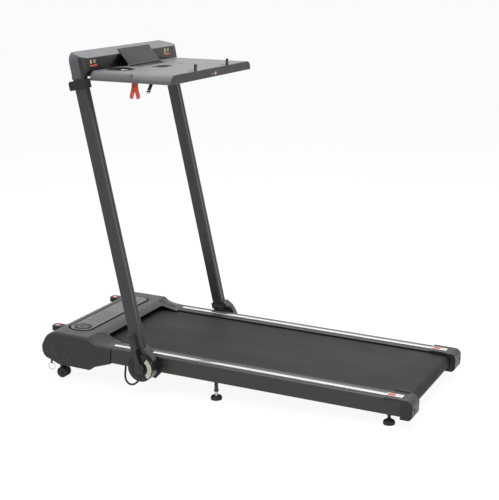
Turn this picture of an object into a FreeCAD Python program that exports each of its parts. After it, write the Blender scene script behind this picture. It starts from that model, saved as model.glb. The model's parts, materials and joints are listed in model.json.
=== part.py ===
# Folding treadmill with a desk tray, as a FreeCAD parametric document (millimetres).
# X runs rearwards along the deck, Y across it to the user's right, Z up; the origin is on the
# floor under the middle of the machine.
import FreeCAD
import Part
import math
import os
import Sketcher
from FreeCAD import Vector

SIZES = [
    # name, value, what it is
    ("deck_height", 58.45, "rail underside above the floor at the middle feet"),
    ("deck_pitch", 2.664, "slope of the deck, front end up (degrees)"),
    ("front_reach", 609.0, "middle feet to the bumper fronts"),
    ("rear_reach", 619.5, "middle feet to the rear end of the caps"),
    ("belt_width", 400.0, "running belt"),
    ("belt_thickness", 1.6, "running belt"),
    ("roller_radius", 20.4, "front and rear roller"),
    ("roller_height", 22.0, "roller centres above the rail underside"),
    ("front_roller_inset", 134.0, "front roller behind the nose of the hood"),
    ("rear_roller_inset", 39.5, "rear roller ahead of the rear end"),
    ("roller_wall", 2.5, "roller tube"),
    ("axle_radius", 8.0, "roller axles"),
    ("running_gap", 0.05, "radial clearance of turning fits"),
    ("slip_gap", 0.3, "clearance between pieces that don't touch"),
    ("frame_wide", 20.0, "width of a frame tube"),
    ("frame_tall", 44.0, "height of a frame tube"),
    ("frame_front_inset", 39.0, "front end of the frame tubes behind the nose"),
    ("frame_rear_inset", 21.5, "rear end of the frame tubes ahead of the rear end"),
    ("tube_wall", 2.0, "frame tube and crossmember wall"),
    ("cross_low", 4.0, "underside of the crossmembers"),
    ("cross_tall", 16.0, "height of a crossmember"),
    ("cross_wide", 25.0, "length of a crossmember along the deck"),
    ("cross_front_inset", 80.0, "front crossmember behind the front roller"),
    ("cross_rear_inset", 94.0, "rear crossmember ahead of the rear roller"),
    ("board_front_inset", 70.0, "front edge of the deck board behind the front roller"),
    ("board_rear_inset", 28.0, "rear edge of the deck board ahead of the rear roller"),
    ("board_gap", 3.0, "deck board to the frame tubes"),
    ("board_thickness", 15.7, "deck board"),
    ("cushion_radius", 15.0, "rubber deck cushion"),
    ("cushion_v", 150.0, "deck cushions from the middle"),
    ("rail_cover", 5.0, "outer face of the side rails beyond the frame tubes"),
    ("lip_gap", 5.0, "belt edge to the inner lip of the side rails"),
    ("rail_top", 48.9, "tread surface of the side rails"),
    ("rail_wall", 2.4, "side rail extrusion"),
    ("rail_step", 33.0, "height of the fine step line on the fascia"),
    ("rail_gap", 0.5, "hood seam to the side rails"),
    ("cap_long", 88.5, "length of the rear caps over the rails"),
    ("trim_offset", 2.5, "bright strip outwards of the middle of the tread surface"),
    ("trim_wide", 15.6, "bright foot rail strip"),
    ("trim_rise", 2.3, "bright strip above the tread surface"),
    ("cap_cover", 2.5, "outer face of the rear caps beyond the side rails"),
    ("cap_side", 37.0, "length of the rear caps at their sides, behind the rail fascias"),
    ("cap_lip", 6.7, "depth of the caps' top over the rail fascias"),
    ("cap_top", 51.6, "top of the rear caps"),
    ("cap_drop", 7.5, "lowest face of the rear caps below the rail underside"),
    ("cap_wall", 3.0, "rear cap shell"),
    ("guide_gap", 2.2, "belt to the curved belt guide"),
    ("guide_rise", 8.5, "ridge of the curved belt guide"),
    ("hood_margin", 72.0, "hood side beyond the edge of the belt"),
    ("hood_cover_gap", 8.0, "hood side beyond the frame tubes"),
    ("nose_inset", 5.0, "nose of the hood behind the bumper fronts"),
    ("hood_top", 68.7, "top of the hood above the rail underside"),
    ("mouth_inset", 192.0, "nose to the edge of the hood over the belt"),
    ("hood_long", 247.0, "nose to the rear seam of the hood over the rails"),
    ("hood_wall", 3.0, "hood and belly pan shells"),
    ("nose_radius", 50.0, "upper rounding of the nose"),
    ("parting_low", 12.6, "parting line of the hood at the nose"),
    ("parting_high", 24.0, "parting line of the hood at the seam"),
    ("wing_cover", 11.0, "hood wings over the edges of the belt"),
    ("wing_corner", 14.0, "rounding of the hood edge beside the wings"),
    ("panel_inset", 57.0, "front edge of the control panel behind the nose"),
    ("panel_long", 73.0, "length of the control panel along the deck"),
    ("panel_corner", 28.0, "corner rounding of the control panel"),
    ("panel_half", 213.0, "half width of the control panel"),
    ("panel_rise", 1.4, "control panel above the hood"),
    ("pan_depth", 35.5, "flat underside of the belly pan below the rails"),
    ("bumper_v", 188.0, "storage bumpers from the middle"),
    ("bumper_wide", 34.0, "storage bumper"),
    ("bumper_low", 49.0, "underside of the storage bumpers"),
    ("bumper_tall", 16.0, "storage bumper"),
    ("motor_inset", 56.0, "motor shaft behind the nose"),
    ("motor_height", 16.0, "motor shaft above the rail underside"),
    ("motor_radius", 34.0, "motor case"),
    ("motor_length", 175.0, "motor case"),
    ("shaft_radius", 5.0, "motor shaft"),
    ("pulley_radius", 30.0, "pulley on the front roller"),
    ("pinion_radius", 11.0, "pulley on the motor shaft"),
    ("pulley_wide", 14.0, "both pulleys"),
    ("drive_belt_thickness", 2.4, "ribbed drive belt"),
    ("plate_long", 112.0, "motor plate behind the motor shaft"),
    ("controller_v", 22.0, "motor controller from the middle"),
    ("controller_wide", 168.0, "width of the motor controller"),
    ("controller_long", 52.0, "length of the motor controller along the deck"),
    ("wheel_inset", 64.0, "transport wheels behind the nose"),
    ("wheel_side", 21.0, "transport wheels inside the outer faces of the frame tubes"),
    ("wheel_radius", 17.5, "transport wheel"),
    ("wheel_wide", 34.0, "transport wheel over both discs"),
    ("disc_gap", 4.5, "inner faces of the wheel discs from the middle of the wheel"),
    ("fork_thickness", 4.0, "wheel bracket between the discs"),
    ("foot_inset", 73.5, "rear levelling feet ahead of the rear end"),
    ("foot_radius", 17.5, "levelling foot pad"),
    ("foot_tall", 12.0, "levelling foot pad"),
    ("stud_radius", 4.1, "levelling foot stud"),
    ("stud_length", 62.0, "levelling foot stud above its pad"),
    ("socket_radius", 5.9, "welded foot socket"),
    ("socket_drop", 25.0, "middle foot socket below the rail underside"),
    ("pivot_inset", 131.0, "mast pivot behind the hood seam"),
    ("pivot_height", 20.0, "mast pivot above the rail underside"),
    ("pivot_radius", 12.0, "mast pivot shaft"),
    ("bracket_cover", 1.7, "outer face of the pivot brackets beyond the side rails"),
    ("drum_wide", 15.3, "width of a fixed pivot drum"),
    ("drum_radius", 37.0, "fixed pivot drum"),
    ("hub_radius", 42.5, "turning hub of the mast"),
    ("hub_wide", 32.0, "width of a turning hub with its gap"),
    ("mast_lean", 12.14, "forward lean of the posts (degrees)"),
    ("post_gap", 3.3, "pivot brackets to the inner faces of the posts"),
    ("post_offset", 4.0, "post centre ahead of the pivot"),
    ("post_deep", 36.0, "post section, front to back"),
    ("post_wide", 32.0, "post section, side to side"),
    ("post_wall", 1.6, "post tube"),
    ("post_corner", 5.0, "post corner radius"),
    ("post_foot", 40.0, "lower end of the posts above the pivot"),
    ("post_head", 891.0, "upper end of the posts above the pivot"),
    ("sleeve_top", 57.5, "top of the casting's sleeve above the pivot"),
    ("sleeve_wall", 4.0, "casting's sleeve round the post"),
    ("lever_reach", 101.0, "lock lever"),
    ("lever_lean", 5.6, "lock lever ahead of the post (degrees)"),
    ("lever_half", 5.5, "half width of the lock lever"),
    ("lever_thickness", 10.0, "lock lever hub"),
    ("lever_pin", 6.0, "shaft end that carries the lock lever"),
    ("collar_drop", 5.0, "top of the collars below the post heads"),
    ("collar_tall", 27.0, "post collar"),
    ("collar_wall", 3.0, "post collar"),
    ("knob_reach", 14.0, "collar lever ahead of the collar"),
    ("bar_lift", 10.0, "underside of the console bar above the post heads"),
    ("console_front", 20.1, "front of the console ahead of the pivot line"),
    ("console_rear", 33.5, "rear top edge of the console behind the pivot line"),
    ("console_tall", 71.0, "height of the console's front face"),
    ("console_fall", 28.0, "fall of the console's top from front to rear"),
    ("console_shoulder", 34.0, "rounding of the console's ends"),
    ("console_corner", 23.0, "rounding of the console's rear corners, front to back"),
    ("cheek_over", 1.0, "console ends beyond the outer faces of the posts"),
    ("console_wall", 3.0, "console shell"),
    ("keypad_thickness", 2.0, "top keypad plate"),
    ("fascia_thickness", 1.6, "glossy rear fascia"),
    ("cheek_under", 6.0, "console ends inside the inner faces of the posts"),
    ("hinge_inset", 1.6, "tray hinge ahead of the rear top edge of the console"),
    ("hinge_drop", 4.8, "tray hinge below the post heads"),
    ("tray_pitch", 1.2, "slope of the tray, front up (degrees)"),
    ("tray_front", 5.0, "tray front edge ahead of its hinge"),
    ("tray_rear", 264.0, "tray rear edge behind its hinge"),
    ("tray_over", 18.0, "tray sides beyond the inner faces of the console ends"),
    ("tray_top", 18.0, "tray top above its hinge"),
    ("tray_low", 9.0, "tray flange edge below its hinge"),
    ("tray_wall", 3.0, "tray shell"),
    ("tray_round", 24.0, "rolled side edge of the tray"),
    ("hinge_pin", 4.0, "tray hinge pins"),
    ("lug_inset", 20.0, "tray hinge lugs inside the console ends"),
    ("lug_wide", 6.0, "tray hinge lug"),
    ("cup_x", 41.0, "cup holder behind the tray hinge"),
    ("cup_inset", 102.0, "cup holder from the left side of the tray"),
    ("cup_radius", 40.0, "cup hole in the tray"),
    ("cup_deep", 24.0, "cup basket below the tray top"),
    ("flap_x", 22.0, "flap hinge behind the tray hinge"),
    ("flap_centre", 8.0, "middle of the flap right of the tray's middle"),
    ("flap_wide", 205.0, "tablet flap"),
    ("flap_reach", 64.0, "tablet flap from its hinge"),
    ("flap_lean", 39.0, "forward lean of the flap (degrees)"),
    ("flap_thickness", 2.5, "tablet flap"),
    ("groove_wide", 26.0, "tablet groove behind the flap"),
    ("groove_deep", 9.0, "tablet groove"),
    ("stop_x", 258.0, "laptop stops behind the tray hinge"),
    ("stop_y", 114.0, "laptop stops from the middle"),
    ("stop_wide", 13.0, "laptop stop"),
    ("stop_tall", 20.0, "laptop stop above the tray"),
    ("stop_thickness", 4.0, "laptop stop"),
    ("clip_x", 132.0, "safety clip behind the tray hinge"),
    ("strap_x", 185.0, "tether strap behind the tray hinge"),
    ("tether_inset", 24.0, "safety clip and strap from the left side of the tray"),
    ("cable_radius", 3.2, "cable loop at the left pivot"),
]

doc = FreeCAD.newDocument("treadmill")
sheet = doc.addObject("Spreadsheet::Sheet", "sizes")
PARTS = []


class Size:
    """A length or angle: text is an expression on the sheet, value is what it comes to."""

    def __init__(self, text, value):
        self.text = text
        self.value = value

    def joined(self, sign, other, value):
        return Size(f"({self.text} {sign} {text_of(other)})", value)

    def __add__(self, other):
        return self.joined("+", other, self.value + value_of(other))

    def __radd__(self, other):
        return Size(text_of(other), value_of(other)) + self

    def __sub__(self, other):
        return self.joined("-", other, self.value - value_of(other))

    def __rsub__(self, other):
        return Size(text_of(other), value_of(other)) - self

    def __mul__(self, other):
        return self.joined("*", other, self.value * value_of(other))

    def __rmul__(self, other):
        return Size(text_of(other), value_of(other)) * self

    def __truediv__(self, other):
        return self.joined("/", other, self.value / value_of(other))

    def __neg__(self):
        return Size(f"(-1 * {self.text})", -self.value)


def text_of(size):
    return size.text if isinstance(size, Size) else f"({size:.9g})"


def value_of(size):
    return size.value if isinstance(size, Size) else float(size)


def sine(angle):
    return Size(f"sin({angle.text})", math.sin(math.radians(angle.value)))


def cosine(angle):
    return Size(f"cos({angle.text})", math.cos(math.radians(angle.value)))


def bind(item, prop, size):
    item.setExpression(prop, text_of(size))


class Sizes:
    """The sheet's cells by name."""


for row, (name, value, note) in enumerate(SIZES, start=1):
    sheet.set(f"A{row}", name)
    sheet.set(f"B{row}", str(value))
    sheet.set(f"C{row}", note)
    sheet.setAlias(f"B{row}", name)
    setattr(Sizes, name, Size(f"sizes.{name}", value))
doc.recompute()
S = Sizes

# Places along the deck that follow from its two ends.
S.hood_front = S.front_reach - S.nose_inset
S.frame_front = S.hood_front - S.frame_front_inset
S.panel_front = S.hood_front - S.panel_inset
S.panel_rear = S.panel_front - S.panel_long
S.motor_u = S.hood_front - S.motor_inset
S.wheel_u = S.hood_front - S.wheel_inset
S.front_roller_u = S.hood_front - S.front_roller_inset
S.board_front = S.front_roller_u - S.board_front_inset
S.hood_mouth = S.hood_front - S.mouth_inset
S.hood_seam = S.hood_front - S.hood_long
S.rail_front = S.hood_seam - S.rail_gap
S.pivot_u = S.hood_seam - S.pivot_inset
S.rear_roller_u = S.rear_reach - S.rear_roller_inset
S.frame_rear = S.rear_reach - S.frame_rear_inset
S.board_rear = S.rear_roller_u - S.board_rear_inset
S.rail_rear = S.rear_reach - S.cap_long
S.cap_seam = S.rear_reach - S.cap_side
S.rear_foot_u = S.rear_reach - S.foot_inset
S.cross_first = S.front_roller_u - S.cross_front_inset
S.cross_pitch = (S.rear_roller_u - S.cross_rear_inset + S.cross_first) / 2

# Widths that follow from the belt, the hood and the posts.
S.hood_half = S.belt_width / 2 + S.hood_margin
S.frame_outer = S.hood_half - S.hood_cover_gap
S.foot_v = S.frame_outer - S.frame_wide / 2
S.wheel_v = S.frame_outer - S.wheel_side
S.board_half = S.frame_outer - S.frame_wide - S.board_gap
S.rail_outer = S.frame_outer + S.rail_cover
S.cap_outer = S.rail_outer + S.cap_cover
S.rail_lip = S.belt_width / 2 + S.lip_gap
S.trim_v = (S.rail_lip + S.rail_outer) / 2 + S.trim_offset
S.wing_v = S.belt_width / 2 - S.wing_cover
S.bracket_outer = S.rail_outer + S.bracket_cover
S.drum_outer = S.bracket_outer + S.drum_wide
S.hub_outer = S.drum_outer + S.hub_wide
S.post_v = S.bracket_outer + S.post_gap + S.post_wide / 2
S.console_half = S.post_v + S.post_wide / 2 + S.cheek_over
S.cheek_inner = S.post_v - S.post_wide / 2 - S.cheek_under
S.lug_v = S.cheek_inner - S.lug_inset
S.tray_half = S.cheek_inner + S.tray_over
S.cup_y = S.tray_half - S.cup_inset
S.tether_y = S.tray_half - S.tether_inset

# Heights on the mast that follow from the posts, and the tray's hinge.
S.bar_low = S.post_head + S.bar_lift
S.console_high = S.bar_low + S.console_tall
S.console_edge = S.console_high - S.console_fall
S.tray_hinge_q = S.post_head - S.hinge_drop
S.tray_hinge_p = S.console_rear - S.hinge_inset

# ---------------------------------------------------------------- sketches and features

ROLES = {"top": "XY_Plane", "side": "XZ_Plane", "end": "YZ_Plane"}


def corners(*points):
    """A closed outline of straight edges through points, each held by its two distances."""

    def draw(sketch):
        first = sketch.GeometryCount
        flat = [Vector(value_of(x), value_of(y), 0) for x, y in points]
        count = len(points)
        for i in range(count):
            sketch.addGeometry(Part.LineSegment(flat[i], flat[(i + 1) % count]))
        for i in range(count):
            after = first + (i + 1) % count
            sketch.addConstraint(Sketcher.Constraint("Coincident", first + i, 2, after, 1))
        for i, (x, y) in enumerate(points):
            hold(sketch, first + i, 1, x, y)

    return draw


def rectangle(x_low, y_low, x_high, y_high):
    return corners((x_low, y_low), (x_high, y_low), (x_high, y_high), (x_low, y_high))


def hold(sketch, edge, end, x, y):
    """Ties one point of the sketch to its distances from the sketch's origin."""
    for kind, size in (("DistanceX", x), ("DistanceY", y)):
        made = sketch.addConstraint(
            Sketcher.Constraint(kind, -1, 1, edge, end, value_of(size))
        )
        if isinstance(size, Size):
            bind(sketch, f"Constraints[{made}]", size)


def circle(x, y, radius):
    """A circle held by its centre and radius."""

    def draw(sketch):
        centre = Vector(value_of(x), value_of(y), 0)
        edge = sketch.addGeometry(Part.Circle(centre, Vector(0, 0, 1), value_of(radius)))
        hold(sketch, edge, 3, x, y)
        made = sketch.addConstraint(Sketcher.Constraint("Radius", edge, value_of(radius)))
        if isinstance(radius, Size):
            bind(sketch, f"Constraints[{made}]", radius)

    return draw


def band(x1, y1, r1, x2, y2, r2):
    """The outline of a belt round two circles: two arcs and the two lines tangent to both."""

    def draw(sketch):
        a = Vector(value_of(x1), value_of(y1), 0)
        b = Vector(value_of(x2), value_of(y2), 0)
        ra = value_of(r1)
        rb = value_of(r2)
        along = math.atan2(b.y - a.y, b.x - a.x)
        open_by = math.acos((ra - rb) / (b - a).Length)
        up = along + open_by
        down = along - open_by

        def rim(centre, radius, angle):
            return centre + Vector(math.cos(angle), math.sin(angle), 0) * radius

        axis = Vector(0, 0, 1)
        arc_b = Part.ArcOfCircle(Part.Circle(b, axis, rb), down, up)
        arc_a = Part.ArcOfCircle(Part.Circle(a, axis, ra), up, down + 2 * math.pi)
        line_up = sketch.addGeometry(Part.LineSegment(rim(a, ra, up), rim(b, rb, up)))
        arc_b = sketch.addGeometry(arc_b)
        line_down = sketch.addGeometry(Part.LineSegment(rim(b, rb, down), rim(a, ra, down)))
        arc_a = sketch.addGeometry(arc_a)
        meets = (
            (line_up, 2, arc_b, 2),
            (arc_b, 1, line_down, 1),
            (line_down, 2, arc_a, 2),
            (arc_a, 1, line_up, 1),
        )
        for one, one_end, other, other_end in meets:
            sketch.addConstraint(
                Sketcher.Constraint("Tangent", one, one_end, other, other_end)
            )
        for arc, x, y, radius in ((arc_a, x1, y1, r1), (arc_b, x2, y2, r2)):
            hold(sketch, arc, 3, x, y)
            made = sketch.addConstraint(
                Sketcher.Constraint("Radius", arc, value_of(radius))
            )
            if isinstance(radius, Size):
                bind(sketch, f"Constraints[{made}]", radius)

    return draw


def sketch_on(body, plane, shapes, level=0.0, at=None):
    """A sketch on one of the body's own planes, moved along the body's axis to level."""
    sketch = body.newObject("Sketcher::SketchObject", f"{body.Name}_sketch")
    origin = [o for o in body.Origin.OriginFeatures if o.Role == ROLES[plane]][0]
    sketch.AttachmentSupport = [(origin, "")]
    sketch.MapMode = "FlatFace"
    bind(sketch, "AttachmentOffset.Base.z", 0 - level if plane == "side" else level)
    if at:
        bind(sketch, "AttachmentOffset.Base.x", at[0])
        bind(sketch, "AttachmentOffset.Base.y", at[1])
    for draw in shapes:
        draw(sketch)
    return sketch


def slab(body, plane, low, high, *shapes):
    """Adds the outline between two levels along Z (top), Y (side) or X (end)."""
    sketch = sketch_on(body, plane, shapes, low)
    pad = body.newObject("PartDesign::Pad", f"{body.Name}_pad")
    pad.Profile = sketch
    bind(pad, "Length", high - low)
    pad.Reversed = plane == "side"
    return pad


def cut(body, plane, low, high, *shapes):
    """Removes the outline between two levels, and makes sure that something went."""
    doc.recompute()
    before = body.Shape.Volume
    sketch = sketch_on(body, plane, shapes, low)
    pocket = body.newObject("PartDesign::Pocket", f"{body.Name}_pocket")
    pocket.Profile = sketch
    bind(pocket, "Length", high - low)
    pocket.Reversed = plane != "side"
    doc.recompute()
    if body.Shape.Volume > before - 1e-3:
        raise ValueError(f"a cut in {body.Label} removes nothing")
    return pocket


def turn(body, plane, at, *points):
    """Revolves an outline of (radius, distance) points about Y (top plane) or Z (side plane)."""
    x, y, z = at
    level = y if plane == "side" else z
    sketch = sketch_on(body, plane, [corners(*points)], level, (x, 0.0))
    made = body.newObject("PartDesign::Revolution", f"{body.Name}_turned")
    made.Profile = sketch
    made.ReferenceAxis = (sketch, ["V_Axis"])
    made.Angle = 360
    return made


def repeat(body, feature, step, count):
    """Repeats a feature along X, step apart."""
    made = body.newObject("PartDesign::LinearPattern", f"{body.Name}_row")
    made.Originals = [feature]
    made.Direction = (feature.Profile[0], ["H_Axis"])
    made.Occurrences = count
    bind(made, "Length", step * (count - 1))
    body.Tip = made
    return made


AXES = {"top": "xy", "side": "xz", "end": "yz"}
NEAR = 0.01


def edges_at(shape, plane, points):
    """Names of the straight edges that run square to the plane through the points."""
    one, two = AXES[plane]
    names = []
    for number, edge in enumerate(shape.Edges, start=1):
        ends = [vertex.Point for vertex in edge.Vertexes]
        for x, y in points:
            near = [
                abs(getattr(end, one) - value_of(x)) < NEAR
                and abs(getattr(end, two) - value_of(y)) < NEAR
                for end in ends
            ]
            if len(ends) == 2 and all(near):
                names.append(f"Edge{number}")
    if not names:
        raise ValueError(f"no edge at {[(value_of(x), value_of(y)) for x, y in points]}")
    return names


def soften(body, plane, radius, *points, kind="Fillet"):
    """Rounds, or chamfers, the edges that run square to the plane through the points."""
    doc.recompute()
    base = body.Tip
    names = edges_at(base.Shape, plane, points)
    made = body.newObject(f"PartDesign::{kind}", f"{body.Name}_{kind.lower()}")
    made.Base = (base, names)
    bind(made, "Radius" if kind == "Fillet" else "Size", radius)
    return made


def arc_points(x, y, radius, *angles):
    """Points on a circle, at angles in degrees from +X."""
    return [
        (x + radius * math.cos(math.radians(a)), y + radius * math.sin(math.radians(a)))
        for a in angles
    ]


# ---------------------------------------------------------------- frames and placements

GAP = S.slip_gap
DECK_X = (S.front_reach - S.rear_reach) / 2
SIN = sine(S.deck_pitch)
COS = cosine(S.deck_pitch)
LEAN_SIN = sine(S.mast_lean)
LEAN_COS = cosine(S.mast_lean)
PIVOT_X = DECK_X - S.pivot_u * COS + S.pivot_height * SIN
PIVOT_Z = S.deck_height + S.pivot_u * SIN + S.pivot_height * COS
TRAY_X = PIVOT_X + S.tray_hinge_p * LEAN_COS - S.tray_hinge_q * LEAN_SIN
TRAY_Z = PIVOT_Z + S.tray_hinge_p * LEAN_SIN + S.tray_hinge_q * LEAN_COS
FLAP_Z = S.tray_top + 3.0
FLAP_X = S.flap_x
FLAP_WORLD_X = TRAY_X + FLAP_X * cosine(S.tray_pitch) + FLAP_Z * sine(S.tray_pitch)
FLAP_WORLD_Z = TRAY_Z - FLAP_X * sine(S.tray_pitch) + FLAP_Z * cosine(S.tray_pitch)

LEFT = -1
RIGHT = 1
SIDES = (("left", LEFT), ("right", RIGHT))


def place(item, x, z, angle):
    """Moves the item to x, z and turns it about Y."""
    item.Placement = FreeCAD.Placement(Vector(), FreeCAD.Rotation(Vector(0, 1, 0), 1))
    bind(item, "Placement.Base.x", x)
    bind(item, "Placement.Base.z", z)
    bind(item, "Placement.Rotation.Angle", angle)


def on_deck(item):
    place(item, DECK_X, S.deck_height, S.deck_pitch)


def on_mast(item):
    place(item, PIVOT_X, PIVOT_Z, 0 - S.mast_lean)


def on_tray(item):
    place(item, TRAY_X, TRAY_Z, S.tray_pitch)


def on_flap(item):
    place(item, FLAP_WORLD_X, FLAP_WORLD_Z, 0 - S.flap_lean)


def piece(label, frame):
    """A new body with its name and its place."""
    body = doc.addObject("PartDesign::Body", label)
    body.Label = label
    body.AllowCompound = True
    frame(body)
    PARTS.append(body)
    return body


def across(side, inner, outer):
    """Low and high level along Y of a stretch on one side of the middle."""
    return (inner, outer) if side == RIGHT else (0 - outer, 0 - inner)


def mirrored(side, points):
    """Outline points (across, up) for one side, from those for the right side."""
    return [(y * side, z) for y, z in points]


# ---------------------------------------------------------------- frame and deck

FRAME_INNER = S.frame_outer - S.frame_wide
BELT_SEAT = S.roller_radius + 0.1
BELT_OUTSIDE = BELT_SEAT + S.belt_thickness
BOARD_TOP = S.roller_height + BELT_SEAT - GAP
CROSS_TOP = S.cross_low + S.cross_tall
FRONT_ROLLER = (0 - S.front_roller_u, S.roller_height)
REAR_ROLLER = (S.rear_roller_u, S.roller_height)
REAR_STUD = S.stud_length - S.rear_foot_u * SIN
REAR_SOCKET_DROP = S.cap_drop + 1.5
END_PLATE = 3.0
BOLT_RADIUS = 3.0


def foot_socket(body, u, drop):
    """A pair of upright threaded sockets through the tubes' undersides."""
    rings = []
    bores = []
    for side in (LEFT, RIGHT):
        rings.append(circle(0.0, S.foot_v * side, S.socket_radius))
        bores.append(circle(0.0, S.foot_v * side, S.stud_radius + S.running_gap))
    depth = drop + 14.0
    for kind, shapes in (("Pad", rings), ("Pocket", bores)):
        sketch = sketch_on(body, "top", shapes)
        turned = FreeCAD.Rotation(Vector(0, 1, 0), -1)
        sketch.AttachmentOffset = FreeCAD.Placement(Vector(), turned)
        bind(sketch, "AttachmentOffset.Rotation.Angle", 0 - S.deck_pitch)
        bind(sketch, "AttachmentOffset.Base.x", u + drop * SIN)
        bind(sketch, "AttachmentOffset.Base.z", 0 - drop * COS)
        made = body.newObject(f"PartDesign::{kind}", f"{body.Name}_socket")
        made.Profile = sketch
        bind(made, "Length", depth)
        made.Reversed = kind == "Pocket"


def make_frame():
    tubes = piece("frame_tubes", on_deck)
    wall = S.tube_wall
    shapes = []
    plates = []
    for side in (LEFT, RIGHT):
        low, high = across(side, FRAME_INNER, S.frame_outer)
        shapes.append(rectangle(low, 0.0, high, S.frame_tall))
        shapes.append(rectangle(low + wall, wall, high - wall, S.frame_tall - wall))
        plates.append(rectangle(low, 0.0, high, S.frame_tall))
    slab(tubes, "end", 0 - S.frame_front, S.frame_rear, *shapes)
    slab(tubes, "end", S.frame_rear - END_PLATE, S.frame_rear, *plates)
    inner = FRAME_INNER + wall + 0.2
    seat = S.axle_radius + 0.1
    cut(tubes, "side", 0 - inner, inner, circle(*FRONT_ROLLER, seat))
    cut(tubes, "side", 0 - inner, inner, circle(*REAR_ROLLER, seat))
    bolts = [circle(side * S.foot_v, S.roller_height, BOLT_RADIUS + 0.1) for _, side in SIDES]
    cut(tubes, "end", S.frame_rear - END_PLATE - 1, S.frame_rear + 1, *bolts)
    foot_socket(tubes, 0.0, S.socket_drop)
    foot_socket(tubes, S.rear_foot_u, REAR_SOCKET_DROP)

    cross = piece("crossmembers", on_deck)
    front = 0 - S.cross_first
    rear = front + S.cross_wide
    first = slab(
        cross, "side", 0 - FRAME_INNER, FRAME_INNER,
        rectangle(front, S.cross_low, rear, CROSS_TOP),
        rectangle(front + wall, S.cross_low + wall, rear - wall, CROSS_TOP - wall),
    )
    repeat(cross, first, S.cross_pitch, 3)

    cushions = piece("deck_cushions", on_deck)
    middle = front + S.cross_wide / 2
    pair = [circle(middle, S.cushion_v * side, S.cushion_radius) for _, side in SIDES]
    first = slab(cushions, "top", CROSS_TOP, BOARD_TOP - S.board_thickness, *pair)
    repeat(cushions, first, S.cross_pitch, 3)

    board = piece("deck_board", on_deck)
    outline = rectangle(0 - S.board_front, 0 - S.board_half, S.board_rear, S.board_half)
    slab(board, "top", BOARD_TOP - S.board_thickness, BOARD_TOP, outline)


def make_rails():
    top = S.rail_top
    under = top - S.rail_wall
    ridge = top + S.trim_rise - 0.4
    lip = 2.0
    strip_in = S.trim_v - S.trim_wide / 2 - 0.2
    strip_out = S.trim_v + S.trim_wide / 2 + 0.2
    leg = S.frame_outer - 11.0
    skin = S.rail_outer - S.rail_wall
    notch = 0.9
    for name, side in SIDES:
        rail = piece(f"side_rail_{name}", on_deck)
        profile = [
            (S.rail_lip, under - 1.6), (S.rail_lip, top),
            (strip_in - lip, top), (strip_in - lip, ridge), (strip_in, ridge), (strip_in, top),
            (strip_out, top), (strip_out, ridge), (strip_out + lip, ridge),
            (strip_out + lip, top), (S.rail_outer, top),
            (S.rail_outer, S.rail_step + notch), (S.rail_outer - notch, S.rail_step),
            (S.rail_outer, S.rail_step - notch), (S.rail_outer, 0.0), (skin, 0.0),
            (skin, under), (leg + 3.0, under), (leg + 3.0, S.frame_tall),
            (leg, S.frame_tall), (leg, under),
            (S.rail_lip + S.rail_wall, under), (S.rail_lip + S.rail_wall, under - 1.6),
        ]
        tail = S.cap_seam - GAP
        slab(rail, "end", 0 - S.rail_front, tail, corners(*mirrored(side, profile)))
        soften(rail, "end", 2.5, (S.rail_outer * side, top))
        low, high = across(side, S.rail_lip - 1.0, skin)
        cut(rail, "top", -1.0, top + 5.0, rectangle(S.rail_rear, low, tail + 1.0, high))
        low, high = across(side, skin - 1.0, S.rail_outer + 1.0)
        beside = S.cap_top - S.cap_lip - GAP
        cut(rail, "end", S.rail_rear, tail + 1.0, rectangle(low, beside, high, top + 5.0))
        low, high = across(side, S.frame_outer, S.rail_outer + 1)
        opening = rectangle(
            BRACKET_FRONT - GAP, -1.0, BRACKET_REAR + GAP, BRACKET_TOP + GAP
        )
        cut(rail, "side", low, high, opening)

    trims = piece("foot_rail_trims", on_deck)
    strips = []
    for name, side in SIDES:
        low, high = across(side, strip_in + 0.2, strip_out - 0.2)
        strips.append(rectangle(low, top, high, top + S.trim_rise))
    slab(trims, "end", 0 - S.rail_front, S.rail_rear, *strips)
    edges = [(y, top + S.trim_rise) for y in (strip_in + 0.2, strip_out - 0.2)]
    soften(trims, "end", 1.0, *edges, *mirrored(LEFT, edges))


CAP_REAR = (S.rear_reach - 30.0 * SIN) / COS
CAP_INNER = S.rail_lip - 2.0


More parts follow.
